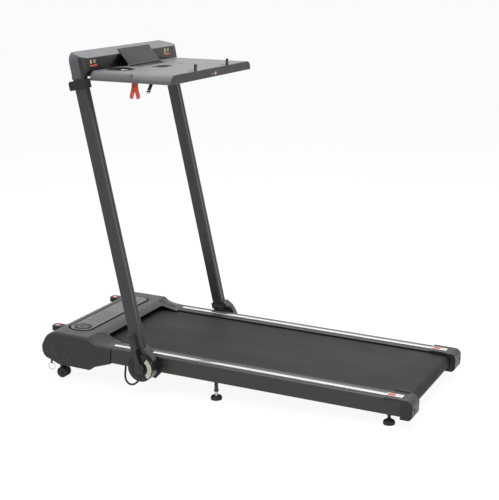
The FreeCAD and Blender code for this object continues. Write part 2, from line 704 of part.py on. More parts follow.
def make_rear_caps():
    wall = S.cap_wall
    for name, side in SIDES:
        cap = piece(f"rear_cap_{name}", on_deck)
        low, high = across(side, CAP_INNER, S.cap_outer)
        outline = corners(
            (S.rail_rear, 0 - wall), (S.rail_rear, S.cap_top), (CAP_REAR, S.cap_top),
            (CAP_REAR, 2.0), (CAP_REAR - 9.0, 0 - S.cap_drop),
            (S.cap_seam, 0 - S.cap_drop), (S.cap_seam, 0 - wall),
        )
        slab(cap, "side", low, high, outline)
        soften(cap, "side", 20.0, (CAP_REAR, S.cap_top))
        soften(cap, "side", 8.0, (CAP_REAR, 2.0))
        inside, outside = across(side, CAP_INNER + wall, S.cap_outer - wall)
        room = corners(
            (S.rail_rear - 1.0, 0 - GAP), (S.rail_rear - 1.0, S.cap_top - wall),
            (CAP_REAR - 20.0, S.cap_top - wall), (CAP_REAR - wall, S.cap_top - 20.0),
            (CAP_REAR - wall, 2.0), (CAP_REAR - 10.0, 0 - GAP),
        )
        cut(cap, "side", inside, outside, room)
        low, high = across(side, CAP_INNER + wall, S.cap_outer + 1.0)
        beside = rectangle(S.rail_rear - 1.0, -20.0, S.cap_seam, S.cap_top - S.cap_lip)
        cut(cap, "side", low, high, beside)
        key = circle(S.foot_v * side, S.roller_height, 6.5)
        cut(cap, "end", CAP_REAR - wall - 4.0, CAP_REAR + 1.0, key)
        low, high = across(side, CAP_INNER - 1.0, CAP_INNER + wall + 1.0)
        cut(cap, "side", low, high, circle(*REAR_ROLLER, S.axle_radius + 1.0))
        board_slot = rectangle(
            S.rail_rear - 1.0, BOARD_TOP - S.board_thickness - GAP,
            S.board_rear + GAP, BOARD_TOP + GAP,
        )
        cut(cap, "side", low, high, board_slot)
        guide_low, guide_high = across(side, CAP_INNER - 6.0, CAP_INNER)
        reach = BELT_OUTSIDE + S.guide_gap
        ridge = reach + S.guide_rise
        guide = corners(
            REAR_ROLLER, (S.rear_roller_u, S.roller_height + reach),
            (S.rail_rear + 6.0, S.roller_height + reach),
            (S.rail_rear + 12.0, S.roller_height + ridge),
            *arc_points(*REAR_ROLLER, ridge, 90, 75, 60, 45, 30, 15, 0, -15, -30, -45),
        )
        slab(cap, "side", guide_low, guide_high, guide)
        cut(cap, "side", guide_low, guide_high, circle(*REAR_ROLLER, reach))

    bolts = piece("roller_adjusters", on_deck)
    tip = S.rear_roller_u + S.axle_radius
    head = S.frame_rear + 8.0
    shanks = [circle(side * S.foot_v, S.roller_height, BOLT_RADIUS) for _, side in SIDES]
    heads = [circle(side * S.foot_v, S.roller_height, 5.0) for _, side in SIDES]
    slab(bolts, "end", tip, head, *shanks)
    slab(bolts, "end", head, head + 6.0, *heads)
    keys = [circle(side * S.foot_v, S.roller_height, 2.6) for _, side in SIDES]
    cut(bolts, "end", head + 2.5, head + 7.0, *keys)


# ---------------------------------------------------------------- belt, rollers and drive

BELT_HALF = S.belt_width / 2
ROLLER_HALF = BELT_HALF + 1.0
PULLEY_INNER = ROLLER_HALF + 4.0
PULLEY_OUTER = PULLEY_INNER + S.pulley_wide
MOTOR = (0 - S.motor_u, S.motor_height)
MOTOR_LEFT = BELT_HALF - 6.0
MOTOR_RIGHT = MOTOR_LEFT - S.motor_length


def make_running_gear():
    belt = piece("running_belt", on_deck)
    slab(
        belt, "side", 0 - BELT_HALF, BELT_HALF,
        band(*FRONT_ROLLER, BELT_OUTSIDE, *REAR_ROLLER, BELT_OUTSIDE),
        band(*FRONT_ROLLER, BELT_SEAT, *REAR_ROLLER, BELT_SEAT),
    )
    bore = S.axle_radius + S.running_gap
    hollow = S.roller_radius - S.roller_wall
    plug = ROLLER_HALF - 16.0
    for name, (u, w) in (("front", FRONT_ROLLER), ("rear", REAR_ROLLER)):
        roller = piece(f"{name}_roller", on_deck)
        turn(
            roller, "top", (u, 0.0, w),
            (bore, 0 - ROLLER_HALF), (S.roller_radius - 1.0, 0 - ROLLER_HALF),
            (S.roller_radius, 0 - BELT_HALF), (S.roller_radius, BELT_HALF),
            (S.roller_radius - 1.0, ROLLER_HALF), (bore, ROLLER_HALF),
            (bore, plug), (hollow, plug), (hollow, 0 - plug), (bore, 0 - plug),
        )
    axles = piece("roller_axles", on_deck)
    reach = S.frame_outer - S.tube_wall
    slab(
        axles, "side", 0 - reach, reach,
        circle(*FRONT_ROLLER, S.axle_radius), circle(*REAR_ROLLER, S.axle_radius),
    )
    pulley = piece("roller_pulley", on_deck)
    rim = S.pulley_radius
    turn(
        pulley, "top", (FRONT_ROLLER[0], 0.0, FRONT_ROLLER[1]),
        (bore + 0.4, 0 - ROLLER_HALF), (14.0, 0 - ROLLER_HALF), (14.0, 0 - PULLEY_INNER),
        (rim, 0 - PULLEY_INNER), (rim, 0 - PULLEY_OUTER), (bore + 0.4, 0 - PULLEY_OUTER),
    )
    drive = piece("drive_belt", on_deck)
    inset = 1.0
    inner = GAP
    outer = GAP + S.drive_belt_thickness
    slab(
        drive, "side", inset - PULLEY_OUTER, 0 - inset - PULLEY_INNER,
        band(*FRONT_ROLLER, rim + outer, *MOTOR, S.pinion_radius + outer),
        band(*FRONT_ROLLER, rim + inner, *MOTOR, S.pinion_radius + inner),
    )


def make_motor():
    case = piece("motor_case", on_deck)
    bore = S.shaft_radius + S.running_gap
    shell = 3.0
    turn(
        case, "top", (MOTOR[0], 0.0, MOTOR[1]),
        (bore, 0 - MOTOR_LEFT), (S.motor_radius, 0 - MOTOR_LEFT),
        (S.motor_radius, 0 - MOTOR_RIGHT), (bore, 0 - MOTOR_RIGHT),
        (bore, 0 - MOTOR_RIGHT - shell), (S.motor_radius - shell, 0 - MOTOR_RIGHT - shell),
        (S.motor_radius - shell, shell - MOTOR_LEFT), (bore, shell - MOTOR_LEFT),
    )
    rotor = piece("motor_rotor", on_deck)
    core = S.motor_radius - shell - 3.0
    fan = S.motor_radius - 4.0
    turn(
        rotor, "top", (MOTOR[0], 0.0, MOTOR[1]),
        (0.0, 0 - PULLEY_OUTER), (S.pinion_radius, 0 - PULLEY_OUTER),
        (S.pinion_radius, 0 - PULLEY_INNER), (S.shaft_radius, 0 - PULLEY_INNER),
        (S.shaft_radius, 20.0 - MOTOR_LEFT), (core, 20.0 - MOTOR_LEFT),
        (core, -20.0 - MOTOR_RIGHT), (S.shaft_radius, -20.0 - MOTOR_RIGHT),
        (S.shaft_radius, 4.0 - MOTOR_RIGHT), (fan, 4.0 - MOTOR_RIGHT),
        (fan, 11.0 - MOTOR_RIGHT), (0.0, 11.0 - MOTOR_RIGHT),
    )
    plate = piece("motor_plate", on_deck)
    seat = S.motor_height - S.motor_radius
    sheet_metal = 3.5
    half = FRAME_INNER
    slab(
        plate, "end", 0 - S.motor_u - 2.0, 0 - S.motor_u + S.plate_long,
        corners(
            (0 - half, seat - sheet_metal), (half, seat - sheet_metal), (half, 32.0),
            (half - sheet_metal, 32.0), (half - sheet_metal, seat),
            (sheet_metal - half, seat), (sheet_metal - half, 32.0), (0 - half, 32.0),
        ),
    )
    cut(
        plate, "side", 0 - half - 1, half + 1,
        circle(*FRONT_ROLLER, S.axle_radius + 1.0),
    )
    fork_inner = S.wheel_v - S.fork_thickness / 2 - GAP
    notch = rectangle(
        WHEEL_U - FORK_REACH - GAP, seat - sheet_metal - 1.0, WHEEL_U + FORK_REACH + GAP, GAP
    )
    for name, side in SIDES:
        cut(plate, "side", *across(side, fork_inner, half + 1.0), notch)
    board = piece("motor_controller", on_deck)
    front = 0 - S.motor_u - 2.0
    rear = front + S.controller_long
    near = S.controller_v
    far = near + S.controller_wide
    slab(board, "top", seat, seat + 6.0, rectangle(front, near, rear, far))
    slab(
        board, "top", seat + 6.0, seat + 34.0,
        rectangle(front + 4.0, near + 4.0, front + 22.0, near + 88.0),
        circle(rear - 16.0, near + 38.0, 11.0),
        circle(rear - 16.0, near + 70.0, 11.0),
        rectangle(front + 8.0, far - 64.0, rear - 6.0, far - 10.0),
    )


# ---------------------------------------------------------------- front hood

BROW = 0 - S.hood_mouth - 22.0
SEAM = 0 - S.hood_seam
NOSE = 0 - S.hood_front
NOSE_CENTRE = (NOSE + S.nose_radius, S.hood_top - S.nose_radius)
INLET_LEFT = 110.0
INLET_WIDE = 70.0
INLET_LOW = -14.0
INLET_HIGH = 10.0
INLET_DEEP = 28.0
SWITCH_U = NOSE + 7.0
SWITCH_W = -1.5
EYE_U = NOSE + 30.0
EYE_V = 10.0 - S.hood_half
EYE_W = -36.0


def make_hood():
    wall = S.hood_wall
    cover = piece("hood_cover", on_deck)
    half = S.hood_half
    slope = [
        (BROW, S.hood_top), (BROW + 14.0, S.hood_top - 4.5), (BROW + 29.0, S.hood_top - 11.0),
        (BROW + 54.0, S.hood_top - 16.5), (SEAM, S.hood_top - 19.0),
    ]
    slab(
        cover, "side", 0 - half, half,
        corners(
            (NOSE, S.parting_low), (NOSE, S.hood_top), *slope,
            (SEAM, S.parting_high), (NOSE + 80.0, S.parting_low),
        ),
    )
    soften(cover, "side", S.nose_radius, (NOSE, S.hood_top))
    inner_nose = arc_points(*NOSE_CENTRE, S.nose_radius - wall, 180, 150, 120, 90)
    mouth = 0 - S.hood_mouth
    skin = half - wall
    cut(
        cover, "side", 0 - skin, skin,
        corners(
            (NOSE + wall, 0.0), *inner_nose, (BROW - 1.0, S.hood_top - wall),
            (mouth - wall, S.hood_top - wall - 8.0), (mouth - wall, 0.0),
        ),
    )
    for name, side in SIDES:
        low, high = across(side, S.wing_v + wall, skin)
        cut(
            cover, "side", low, high,
            corners(
                (mouth - wall - 1.0, 0.0), (mouth - wall - 1.0, S.hood_top - wall - 8.5),
                (BROW + 27.5, S.hood_top - 11.0 - wall),
                (BROW + 53.0, S.hood_top - 16.5 - wall),
                (SEAM + 7.0, S.hood_top - 19.3 - wall), (SEAM + 7.0, 0.0),
            ),
        )
    cut(
        cover, "top", 0.0, S.hood_top + 10.0,
        rectangle(mouth, 0 - S.wing_v, SEAM + 20.0, S.wing_v),
    )
    soften(cover, "top", S.wing_corner, (mouth, S.wing_v), (mouth, 0 - S.wing_v))
    slot = S.rail_lip + 2.0
    belt_clear = S.roller_height + BELT_OUTSIDE + 3.0
    cut(cover, "top", 0.0, belt_clear, rectangle(mouth - 20.0, 0 - slot, SEAM + 20.0, slot))

    pan = piece("belly_pan", on_deck)
    deep = 0 - S.pan_depth
    slab(
        pan, "side", 0 - half, half,
        corners(
            (NOSE, S.parting_low), (NOSE + 1.0, 2.0), (NOSE + 8.0, -12.0),
            (NOSE + 17.0, -19.0), (NOSE + 36.0, -24.0), (NOSE + 59.0, deep + 1.0),
            (SEAM - 73.0, deep), (SEAM - 52.0, deep + 14.5), (SEAM - 20.0, deep + 25.5),
            (SEAM, -3.2), (SEAM, S.parting_high), (NOSE + 80.0, S.parting_low),
        ),
    )
    cut(
        pan, "side", 0 - skin, skin,
        corners(
            (NOSE + wall, 40.0), (NOSE + wall, S.parting_low), (NOSE + wall + 1.0, 2.8),
            (NOSE + 10.3, -9.8), (NOSE + 18.5, -16.2), (NOSE + 37.0, -21.0),
            (NOSE + 60.0, deep + 1.0 + wall), (SEAM - 74.5, deep + wall),
            (SEAM - 54.0, deep + 17.2), (SEAM - 21.0, deep + 28.5), (SEAM + 7.0, 0 - GAP),
            (SEAM + 7.0, 40.0),
        ),
    )
    cut(pan, "top", -20.0, 40.0, rectangle(SEAM - 30.0, 0 - slot, SEAM + 20.0, slot))
    fork = S.fork_thickness / 2 + 1.0
    for name, side in SIDES:
        low, high = across(side, S.wheel_v - fork, S.wheel_v + fork)
        hole = rectangle(0 - S.wheel_u - 20.0, low, 0 - S.wheel_u + 20.0, high)
        cut(pan, "top", deep - 5.0, -5.0, hole)
    cut(
        pan, "end", NOSE - 1.0, NOSE + INLET_DEEP,
        rectangle(
            INLET_LEFT - GAP, INLET_LOW - GAP,
            INLET_LEFT + INLET_WIDE + GAP, INLET_HIGH + GAP,
        ),
    )
    slab(
        pan, "end", EYE_U - 1.5, EYE_U + 1.5,
        band(EYE_V, -23.0, 5.0, EYE_V, EYE_W, 4.2),
    )
    cut(pan, "end", EYE_U - 2.0, EYE_U + 2.0, circle(EYE_V, EYE_W, 2.2))

    panel = piece("control_panel", on_deck)
    outline = rectangle(
        0 - S.panel_front, 0 - S.panel_half, 0 - S.panel_rear, S.panel_half
    )
    slab(panel, "top", S.hood_top, S.hood_top + S.panel_rise, outline)
    soften(
        panel, "top", S.panel_corner,
        *[(u, v) for u in (0 - S.panel_front, 0 - S.panel_rear)
          for v in (0 - S.panel_half, S.panel_half)],
    )

    bumpers = piece("storage_bumpers", on_deck)
    front = 0 - (S.front_reach + S.bumper_low * SIN) / COS
    rear = NOSE_CENTRE[0] - 14.0
    high = S.bumper_low + S.bumper_tall
    blocks = []
    tips = []
    for name, side in SIDES:
        near, far = across(side, S.bumper_v - S.bumper_wide / 2, S.bumper_v + S.bumper_wide / 2)
        blocks.append(rectangle(front, near, rear, far))
        tips += [(front, near), (front, far)]
    slab(bumpers, "top", S.bumper_low, high, *blocks)
    soften(bumpers, "top", 9.0, *tips)
    cut(bumpers, "side", 0 - S.hood_half, S.hood_half, circle(*NOSE_CENTRE, S.nose_radius))


def make_power():
    inlet = piece("power_inlet", on_deck)
    front = NOSE
    slab(
        inlet, "end", front, front + INLET_DEEP,
        rectangle(INLET_LEFT, INLET_LOW, INLET_LEFT + INLET_WIDE, INLET_HIGH),
    )
    socket = rectangle(INLET_LEFT + 4.0, INLET_LOW + 3.0, INLET_LEFT + 31.0, INLET_HIGH - 3.0)
    cut(inlet, "end", front - 1.0, front + 16.0, socket)
    pins = [
        rectangle(INLET_LEFT + y - 1.0, SWITCH_W - 2.5, INLET_LEFT + y + 1.0, SWITCH_W + 2.5)
        for y in (10.5, 17.5, 24.5)
    ]
    slab(inlet, "end", front + 6.5, front + 17.0, *pins)
    bay = rectangle(INLET_LEFT + 40.0, INLET_LOW + 2.0, INLET_LEFT + 66.0, INLET_HIGH - 2.0)
    cut(inlet, "end", front - 1.0, front + 20.0, bay)
    trunnion = circle(SWITCH_U, SWITCH_W, 1.5 + S.running_gap)
    cut(inlet, "side", INLET_LEFT + 38.0, INLET_LEFT + 68.0, trunnion)

    rocker = piece("power_switch", on_deck)
    slab(
        rocker, "side", INLET_LEFT + 40.5, INLET_LEFT + 65.5,
        corners(
            (SWITCH_U - 9.5, SWITCH_W - 7.5), (SWITCH_U - 6.5, SWITCH_W),
            (SWITCH_U - 7.5, SWITCH_W + 7.5), (SWITCH_U + 5.0, SWITCH_W + 6.5),
            (SWITCH_U + 5.0, SWITCH_W - 6.5),
        ),
    )
    slab(
        rocker, "side", INLET_LEFT + 38.5, INLET_LEFT + 67.5,
        circle(SWITCH_U, SWITCH_W, 1.5),
    )


RING_RADIUS = 11.5
RING_WIRE = 1.0


def make_ring():
    ring = doc.addObject("Part::Torus", "pull_ring")
    ring.Label = "pull_ring"
    ring.Radius1 = RING_RADIUS
    ring.Radius2 = RING_WIRE
    hang = EYE_W - RING_RADIUS - 0.9
    turned = FreeCAD.Rotation(Vector(1, 0, 0), 90)
    ring.Placement = FreeCAD.Placement(Vector(), turned)
    bind(ring, "Placement.Base.x", DECK_X + EYE_U * COS + EYE_W * SIN)
    bind(ring, "Placement.Base.y", EYE_V)
    bind(ring, "Placement.Base.z", S.deck_height - EYE_U * SIN + EYE_W * COS + (hang - EYE_W))
    PARTS.append(ring)


# ---------------------------------------------------------------- wheels and feet

WHEEL_U = 0 - S.wheel_u
WHEEL_W = (S.wheel_radius - S.deck_height + WHEEL_U * SIN) / COS
WHEEL_HUB = 5.0
FORK_REACH = 18.0


def make_wheels():
    forks = piece("wheel_forks", on_deck)
    half = S.fork_thickness / 2
    for name, side in SIDES:
        low, high = across(side, S.wheel_v - half, S.wheel_v + half)
        slab(
            forks, "side", low, high,
            corners(
                (WHEEL_U - FORK_REACH, 0.0), (WHEEL_U + FORK_REACH, 0.0), (WHEEL_U + FORK_REACH, -26.0),
                (WHEEL_U + 10.0, WHEEL_W - 4.0), (WHEEL_U + 5.0, WHEEL_W - 9.0),
                (WHEEL_U - 5.0, WHEEL_W - 9.0), (WHEEL_U - 10.0, WHEEL_W - 4.0),
                (WHEEL_U - FORK_REACH, -26.0),
            ),
        )
        low, high = across(side, S.wheel_v - half, S.frame_outer - 2.0)
        slab(
            forks, "side", low, high,
            rectangle(WHEEL_U - FORK_REACH, -3.0, WHEEL_U + FORK_REACH, 0.0),
        )
    bore = circle(WHEEL_U, WHEEL_W, WHEEL_HUB + S.running_gap)
    cut(forks, "side", 0 - S.hood_half, S.hood_half, bore)
    rim = S.wheel_radius
    out = S.wheel_wide / 2
    inner = S.disc_gap
    seat = half + 0.7
    boss = WHEEL_HUB + 3.0
    for name, side in SIDES:
        wheel = piece(f"transport_wheel_{name}", on_deck)
        centre = S.wheel_v * side
        section = [
            (0.0, 0 - out), (rim - 3.0, 0 - out), (rim, 3.0 - out), (rim, 0 - inner - 1.5),
            (rim - 1.5, 0 - inner), (boss, 0 - inner), (boss, 0 - seat), (WHEEL_HUB, 0 - seat),
            (WHEEL_HUB, seat), (boss, seat), (boss, inner),
            (rim - 1.5, inner), (rim, inner + 1.5), (rim, out - 3.0), (rim - 3.0, out),
            (0.0, out),
        ]
        section = [(radius, centre + y) for radius, y in section]
        turn(wheel, "top", (WHEEL_U, 0.0, WHEEL_W), *section)


def make_feet():
    pad = S.foot_radius
    tall = S.foot_tall
    spots = (("middle", 0.0, S.stud_length), ("rear", S.rear_foot_u, REAR_STUD))
    for where, u, length in spots:
        for name, side in SIDES:
            foot = doc.addObject("PartDesign::Body", f"levelling_foot_{where}_{name}")
            foot.Label = f"levelling_foot_{where}_{name}"
            bind(foot, "Placement.Base.x", DECK_X + u * COS)
            bind(foot, "Placement.Base.y", S.foot_v * side)
            PARTS.append(foot)
            turn(
                foot, "side", (0.0, 0.0, 0.0),
                (0.0, 0.0), (pad - 1.0, 0.0), (pad, 1.5), (pad, tall - 3.5),
                (pad - 2.5, tall), (S.stud_radius, tall), (S.stud_radius, tall + length),
                (0.0, tall + length),
            )


# ---------------------------------------------------------------- mast pivot

PIVOT = (0 - S.pivot_u, S.pivot_height)
BRACKET_FRONT = PIVOT[0] - 46.0
BRACKET_REAR = PIVOT[0] + 47.0
BRACKET_TOP = PIVOT[1] + 24.0
LEVER_INNER = S.hub_outer + 0.8
LEVER_OUTER = LEVER_INNER + S.lever_thickness
POST_FRONT = 0 - S.post_offset - S.post_deep / 2
POST_REAR = S.post_deep / 2 - S.post_offset


def make_pivots():
    for name, side in SIDES:
        bracket = piece(f"pivot_bracket_{name}", on_deck)
        u, w = PIVOT
        slab(
            bracket, "side", *across(side, S.frame_outer, S.bracket_outer),
            corners(
                (BRACKET_FRONT, BRACKET_TOP), (BRACKET_REAR, BRACKET_TOP),
                (BRACKET_REAR, w - 20.0), (BRACKET_REAR - 18.0, w - 41.5),
                (u, w - 39.0), (u - 34.0, w - 20.0), (BRACKET_FRONT, w),
            ),
        )
        drum = circle(u, w, S.drum_radius)
        slab(bracket, "side", *across(side, S.bracket_outer, S.drum_outer), drum)
        shaft = circle(u, w, S.pivot_radius)
        slab(bracket, "side", *across(side, S.drum_outer, S.hub_outer - 1.0), shaft)
        stub = circle(u, w, S.lever_pin)
        slab(bracket, "side", *across(side, S.hub_outer - 1.0, LEVER_OUTER + 0.6), stub)
        head = circle(u, w, S.lever_pin + 3.0)
        slab(bracket, "side", *across(side, LEVER_OUTER + 0.6, LEVER_OUTER + 2.6), head)

        casting = piece(f"pivot_casting_{name}", on_mast)
        inner = S.drum_outer + 0.5
        wide = S.post_wide / 2 + S.sleeve_wall
        top = S.sleeve_top
        foot = S.post_foot
        base = foot - 2.0
        slab(casting, "side", *across(side, inner, S.hub_outer), circle(0.0, 0.0, S.hub_radius))
        slab(
            casting, "side", *across(side, inner, S.post_v + wide),
            corners(
                (-38.0, 8.0), (POST_FRONT - 4.0, base), (POST_REAR + 22.0, base),
                (POST_REAR + 29.0, 22.0), (42.0, 3.0), (0.0, 0.0),
            ),
        )
        slab(
            casting, "side", *across(side, S.bracket_outer + 1.2, S.post_v + wide),
            corners(
                (POST_FRONT - 4.0, base), (POST_FRONT - 4.0, top), (POST_REAR + 5.0, top),
                (POST_REAR + 13.0, base + 11.0), (POST_REAR + 22.0, base),
            ),
        )
        bore = rectangle(
            POST_FRONT - 0.05, S.post_v * side - S.post_wide / 2 - 0.05,
            POST_REAR + 0.05, S.post_v * side + S.post_wide / 2 + 0.05,
        )
        cut(casting, "top", foot, top + 1.0, bore)
        seat = circle(0.0, 0.0, S.pivot_radius + S.running_gap)
        cut(casting, "side", *across(side, inner - 1.0, S.hub_outer + 1.0), seat)
        window = corners((-10.0, base), (10.0, base - 2.0), (13.0, top - 6.0), (-7.0, top - 6.0))
        cut(casting, "side", *across(side, S.post_v + S.post_wide / 2, S.hub_outer), window)

        lever = piece(f"lock_lever_{name}", on_mast)
        tip_p = 0 - S.lever_reach * sine(S.lever_lean)
        tip_q = S.lever_reach * cosine(S.lever_lean)
        slab(
            lever, "side", *across(side, LEVER_INNER, LEVER_OUTER),
            circle(0.0, 0.0, S.lever_pin + 10.5),
        )
        slab(
            lever, "side", *across(side, LEVER_INNER + 2.5, LEVER_OUTER - 1.5),
            band(0.0, 0.0, S.lever_half + 2.5, tip_p, tip_q, S.lever_half),
        )
        pin = circle(0.0, 0.0, S.lever_pin + S.running_gap)
        cut(lever, "side", *across(side, LEVER_INNER - 1.0, LEVER_OUTER + 1.0), pin)


# ---------------------------------------------------------------- posts and collars


def make_posts():
    half = S.post_wide / 2
    wall = S.post_wall
    for name, side in SIDES:
        post = piece(f"post_{name}", on_mast)
        y = S.post_v * side
        slab(
            post, "top", S.post_foot, S.post_head,
            rectangle(POST_FRONT, y - half, POST_REAR, y + half),
        )
        soften(
            post, "top", S.post_corner,
            *[(p, v) for p in (POST_FRONT, POST_REAR) for v in (y - half, y + half)],
        )
        room = rectangle(
            POST_FRONT + wall, y - half + wall, POST_REAR - wall - 1.0, y + half - wall
        )
        cut(post, "top", S.post_foot - 1.0, S.post_head + 1.0, room)
        groove = rectangle(POST_REAR - 0.8, y - 2.0, POST_REAR + 1.0, y + 2.0)
        cut(post, "top", S.post_foot - 1.0, S.post_head + 1.0, groove)


COLLAR_TOP = S.post_head - S.collar_drop
COLLAR_LOW = COLLAR_TOP - S.collar_tall
COLLAR_FRONT = POST_FRONT - S.collar_wall
KNOB_FRONT = COLLAR_FRONT - S.knob_reach
KNOB_PIN = (COLLAR_FRONT - 5.0, COLLAR_LOW + 5.0)
EAR = 3.2


def make_collars():
    collars = piece("post_collars", on_mast)
    half = S.post_wide / 2
    rings = []
    ears = []
    for name, side in SIDES:
        y = S.post_v * side
        out = half + S.collar_wall
        rings.append(rectangle(COLLAR_FRONT, y - out, POST_REAR + S.collar_wall, y + out))
        fit = half + 0.05
        rings.append(rectangle(POST_FRONT - 0.05, y - fit, POST_REAR + 0.05, y + fit))
        for low, high in ((y - out, y - out + EAR), (y + out - EAR, y + out)):
            ears.append((low, high))
    slab(collars, "top", COLLAR_LOW, COLLAR_TOP, *rings)
    lug = rectangle(KNOB_PIN[0] - 4.0, COLLAR_LOW, COLLAR_FRONT, COLLAR_LOW + 10.0)
    for low, high in ears:
        slab(collars, "side", low, high, lug)
    for name, side in SIDES:
        reach = half + S.collar_wall
        pin = circle(*KNOB_PIN, 2.0)
        slab(collars, "side", S.post_v * side - reach, S.post_v * side + reach, pin)

    for name, side in SIDES:
        lever = piece(f"collar_lever_{name}", on_mast)
        y = S.post_v * side
        wide = half + S.collar_wall - EAR - GAP
        p, q = KNOB_PIN
        slab(
            lever, "side", y - wide, y + wide,
            corners(
                (p, q - 4.4), (p + 3.0, q - 3.4), (p + 4.4, q), (COLLAR_FRONT - GAP, q + 6.0),
                (COLLAR_FRONT - GAP, COLLAR_TOP), (KNOB_FRONT + 5.0, COLLAR_TOP + 1.0),
                (KNOB_FRONT, COLLAR_TOP - 4.0), (KNOB_FRONT, q - 2.0), (KNOB_FRONT + 3.0, q - 4.4),
            ),
        )
        cut(lever, "side", y - wide - 1.0, y + wide + 1.0, circle(p, q, 2.0 + S.running_gap))


# ---------------------------------------------------------------- console

CROWN = (0 - S.console_front, S.console_high)
BROAD = (S.console_rear, S.console_edge)
TOP_RUN = S.console_rear + S.console_front
TOP_FALL = S.console_high - S.console_edge
TOP_LENGTH = math.hypot(TOP_RUN.value, TOP_FALL.value)
TOP_NORMAL = (TOP_FALL / TOP_LENGTH, TOP_RUN / TOP_LENGTH)
PLATE_DROP = S.keypad_thickness * TOP_LENGTH / TOP_RUN
REAR_LEAN = LEAN_SIN / LEAN_COS


def rear_face(q, inset=0.0):
    """A point of the console's upright rear face, at height q along the mast."""
    return (S.console_rear - inset - (S.console_edge - q) * REAR_LEAN, q)


def corner_waste(x, y, wide, tall):
    """What lies outside a quarter ellipse in the corner at x, y, on the side of its signs."""
    curve = []
    for angle in (0, 15, 30, 45, 60, 75, 90):
        turned = math.radians(angle)
        curve.append((x - wide * (1 - math.cos(turned)), y - tall * (1 - math.sin(turned))))
    beyond_x = x + 0.1 * wide
    beyond_y = y + 0.1 * tall
    return corners(*curve, (curve[-1][0], beyond_y), (beyond_x, beyond_y), (beyond_x, curve[0][1]))


def round_ends(body):
    """Rounds the console's top ends and its rear corners."""
    half = S.console_half
    round_off = S.console_shoulder
    tops = [
        corner_waste(half * side, S.console_high, round_off * side, round_off)
        for _, side in SIDES
    ]
    cut(body, "end", -60.0, 80.0, *tops)
    rears = [
        corner_waste(S.console_rear, half * side, S.console_corner, round_off * side)
        for _, side in SIDES
    ]
    cut(body, "top", S.post_head - 1.0, S.console_high + 20.0, *rears)


def make_console():
    half = S.console_half
    inset = S.fascia_thickness
    front = 0 - S.console_front
    joint_front = (front, S.console_high - PLATE_DROP)
    joint_rear = S.console_edge - PLATE_DROP
    housing = piece("console_housing", on_mast)
    slab(
        housing, "side", 0 - half, half,
        corners(
            (front, S.bar_low), rear_face(S.bar_low, inset),
            rear_face(joint_rear, inset), rear_face(joint_rear), joint_front,
        ),
    )
    for name, side in SIDES:
        slab(
            housing, "side", *across(side, S.cheek_inner, half),
            corners(
                (POST_FRONT - 0.4, S.post_head), rear_face(S.post_head, inset),
                rear_face(S.bar_low + 6.0, inset), (front, S.bar_low + 6.0),
            ),
        )
        fit = GAP + S.post_wall
        wide = S.post_wide / 2 - fit
        y = S.post_v * side
        spigot = rectangle(
            POST_FRONT + fit, y - wide, POST_REAR - fit - 1.0, y + wide
        )
        slab(housing, "top", S.post_head - 34.0, S.post_head + 4.0, spigot)
    wall = S.console_wall
    room = S.cheek_inner - wall
    cut(
        housing, "side", 0 - room, room,
        corners(
            (front + wall, S.bar_low + wall), rear_face(S.bar_low + wall, inset + wall),
            rear_face(joint_rear - 4.0, inset + wall), (front + wall, joint_front[1] - 5.0),
        ),
    )
    middle = ((CROWN[0] + BROAD[0]) / 2, (CROWN[1] + BROAD[1]) / 2)
    deep = 14.0
    run = (TOP_NORMAL[1] * 12.0, TOP_NORMAL[0] * -12.0)
    fall = (TOP_NORMAL[0] * deep, TOP_NORMAL[1] * deep)
    window = corners(
        (middle[0] - run[0], middle[1] - run[1]), (middle[0] + run[0], middle[1] + run[1]),
        (middle[0] + run[0] - fall[0], middle[1] + run[1] - fall[1]),
        (middle[0] - run[0] - fall[0], middle[1] - run[1] - fall[1]),
    )
    cut(housing, "side", 40.0 - room, room - 40.0, window)
    round_ends(housing)

    keypad = piece("console_keypad", on_mast)
    slab(
        keypad, "side", 0 - half, half,
        corners(joint_front, rear_face(joint_rear), BROAD, CROWN),
    )
    round_ends(keypad)
    fascia = piece("console_fascia", on_mast)
    reach = half - S.console_shoulder
    slab(
        fascia, "side", 0 - reach, reach,
        corners(
            rear_face(S.bar_low, inset), rear_face(S.bar_low),
            rear_face(joint_rear), rear_face(joint_rear, inset),
        ),
    )

    brackets = piece("tray_brackets", on_mast)
    p = S.tray_hinge_p
    q = S.tray_hinge_q
    outline = corners(
        (p - 28.0, S.bar_low), (p - 13.0, S.bar_low), (p - 12.0, q + 14.0), (p - 6.0, q + 7.5),
        (p + 6.0, q + 7.0), (p + 8.0, q), (p + 6.0, q - 6.5), (p - 2.0, q - 8.0),
        (p - 12.0, q - 6.0), (p - 28.0, q + 12.0),
    )
    for name, side in SIDES:
        outer = S.lug_v - S.lug_wide / 2 - 0.5
        slab(brackets, "side", *across(side, outer - 4.0, outer), outline)
    cut(
        brackets, "side", 0 - S.lug_v, S.lug_v,
        circle(p, q, S.hinge_pin + S.running_gap),
    )


# ---------------------------------------------------------------- desk tray

PIN_FIT = 0.02
FLAP_PIN = 1.6
FLAP_KNUCKLE = 2.8
STOP_PIN = 1.0
STOP_HINGE = S.tray_top - S.tray_wall / 2
STOP_ROOM = 0.7
PLATE = 2.0
CUP = (S.cup_x, 0 - S.cup_y)


def tray_profile(inset, low):
    """The tray's cross-section, inset by a wall, with its rolled side edges."""
    half = S.tray_half - inset
    top = S.tray_top - inset
    radius = S.tray_round - inset
    roll = arc_points(half - radius, top - radius, radius, 0, 15, 30, 45, 60, 75, 90)
    return [(half, low), *roll], [(0 - y, z) for y, z in reversed([(half, low), *roll])]


